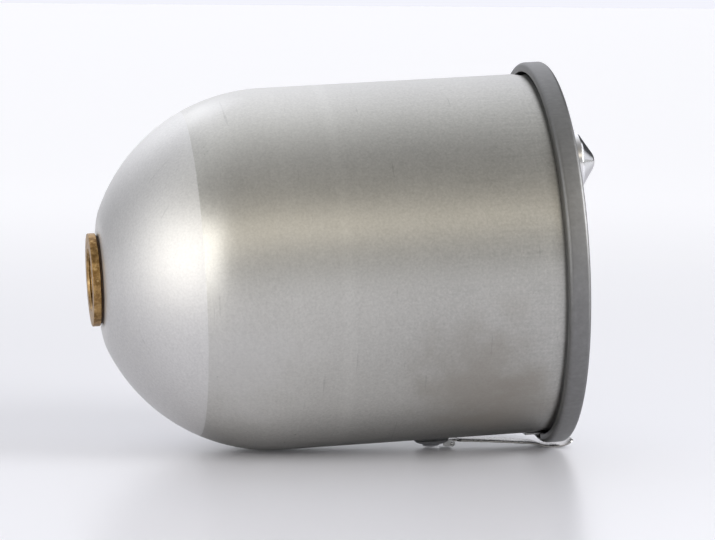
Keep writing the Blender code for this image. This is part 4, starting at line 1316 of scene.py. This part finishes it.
def makeClip():
    eye, leaf = clip["eye"], clip["leaf"]
    roll = arc(eye, clip["eyeRadius"], radians(-20), radians(-270), 28)
    run = [roll[-1], (eye[0] + 1.2 * mm, roll[-1][1])] + [(x * mm, z * mm) for x, z in clip["run"]]
    line = roll + smoothed(run, 7)[1:]
    shoulder = eye[0] + clip["eyeRadius"] + leaf + 0.5 * mm
    widths = []
    for i, (distance, height) in enumerate(line):
        past = min(max((distance - shoulder) / (0.7 * mm), 0), 1)
        wide = clip["eyeWidth"] + (clip["width"] - clip["eyeWidth"]) * past ** 0.5
        fromEnd = (len(line) - 1 - i) / 12
        wide -= clip["endRound"] * (1 - sqrt(max(0.0, 1 - (1 - min(fromEnd, 1)) ** 2))) * 2
        widths.append(clip["eyeWidth"] if i < len(roll) else wide)
    mesh = strip("clipLeaf", line, widths, leaf, 0.07 * mm)
    shown("clipLeaf", mesh, "spring", "clip", "spring_steel", "clip_leaf")

    high, low = -clip["top"] + 0.02 * mm, -clip["bottom"]
    rim, wide = clip["rim"], clip["base"] - clip["rimEase"]
    lens = [(high, 0), (high, clip["base"] - 0.25 * mm), (high + 0.18 * mm, clip["base"]), (high + rim, wide)]
    for t in [k / 12 for k in range(1, 12)]:
        lens.append((high + rim + (low - high - rim) * sin(pi / 2 * t), wide * (1 - 0.55 * t ** 1.4)))
    lens += [(low, clip["base"] * 0.40), (low, 0)]
    base = turned("clipBase", lens, 72, pointingDown(clip["baseMiddle"]), "plated")
    slot = eye[0] - clip["eyeRadius"] - leaf / 2 - 0.3 * mm
    far = clip["baseMiddle"] + clip["base"] + 1 * mm
    eyeRoom = block((bushX + slot, -7 * mm, axisZ - 56 * mm), (bushX + far, 7 * mm, axisZ - 50 * mm))
    base = cut(base, "DIFFERENCE", eyeRoom)
    inner = clip["eyeWidth"] / 2 + 0.3 * mm
    parts = [base]
    tail = slot - 1.3 * mm
    root = clip["top"] - eye[1] - 0.1 * mm
    outline = [(tail - eye[0], root), (tail - eye[0], -0.45 * mm), (-1.1 * mm, -0.62 * mm)]
    outline += arc((0, 0), clip["earRadius"], radians(-125), radians(62), 22) + [(-0.2 * mm, root)]
    loops = [outline, circle(clip["pin"] + 0.1 * mm, 24)]
    place = sideways(*eye) @ Matrix.Scale(-1, 4, (0, 1, 0))
    for side in (-1, 1):
        middle, half = side * (inner + clip["ear"] / 2), clip["ear"] / 2
        parts.append(stamped("ear", loops, middle - half, middle + half, 0.07 * mm, place, "plated"))
    mesh = joined("clipBracket", parts)
    shape = bmesh.new()
    shape.from_mesh(mesh)
    bmesh.ops.recalc_face_normals(shape, faces=shape.faces)
    shape.to_mesh(mesh)
    shape.free()
    shown("clipBracket", mesh, "plated", "housing", "plated_steel", "clip_bracket")

    under = -clip["bottom"] + 0.02 * mm
    inside = 49.0 * mm - 0.3 * mm
    head, shank, dome = clip["rivetHead"], clip["rivet"], clip["rivetDome"]
    outline = [(inside - 0.6 * mm, 0), (inside - 0.6 * mm, 1.5 * mm), (inside - 0.5 * mm, 1.75 * mm),
               (inside, 2.0 * mm), (inside, shank), (under, shank),
               (under, head - 0.1 * mm), (under + 0.12 * mm, head)]
    turns = [pi / 2 * k / 10 for k in range(1, 10)]
    outline += [(under + 0.12 * mm + dome * sin(t), head * cos(t)) for t in turns] + [(under + 0.86 * mm, 0)]
    mesh = turned("clipRivet", outline, 56, pointingDown(clip["rivetMiddle"]), "polished")
    shown("clipRivet", mesh, "polished", "housing", "polished_steel", "clip_rivet")

    low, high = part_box("clip_pin")
    half = (high.y - low.y) / 2
    corners = [(-half, 0), (-half, clip["pin"], 0.12 * mm), (half, clip["pin"], 0.12 * mm), (half, 0)]
    outline = rounded(corners, closed=False, steps=3)
    mesh = turned("clipPin", outline, 24, sideways(*eye), "polished")
    shown("clipPin", mesh, "polished", "housing", "polished_steel", "clip_pin")


lug = {
    "width": 5.0 * mm, "sheet": 0.5 * mm, "start": 119.0 * mm, "face": 124.5 * mm, "bend": 0.8 * mm,
    "top": -50.3 * mm, "bottom": -51.8 * mm,
}


def makeLug():
    top = lug["top"] - lug["sheet"] / 2
    line = [(lug["start"] + x * mm, top) for x in (0, 0.15, 0.4, 1.0, 2.2, 3.4)]
    line += arc((lug["face"] - lug["bend"], top - lug["bend"]), lug["bend"], pi / 2, 0, 8)
    line.append((lug["face"], lug["bottom"]))
    widths = [lug["width"] - narrowing * mm for narrowing in (1.2, 0.6, 0.2)]
    widths += [lug["width"]] * (len(line) - 4) + [lug["width"] - 0.6 * mm]
    mesh = strip("locatingLug", line, widths, lug["sheet"], 0.07 * mm)
    shown("locatingLug", mesh, "plated", "housing", "plated_steel", "locating_lug")


makeBush()
note("bush is threaded")
makeFilter()
note("filter pack is in")
makeCover()
note("cover is pressed and cut")
makeShutter()
makeKnob()
makePivot()
note("choke is fitted")
makeTongue()
makeClip()
makeLug()
note("tongue, clip and lug are on")

# the knob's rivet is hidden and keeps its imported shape
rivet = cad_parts["knob_rivet"]
rivet.data.materials.clear()
rivet.data.materials.append(finishes["polished"])
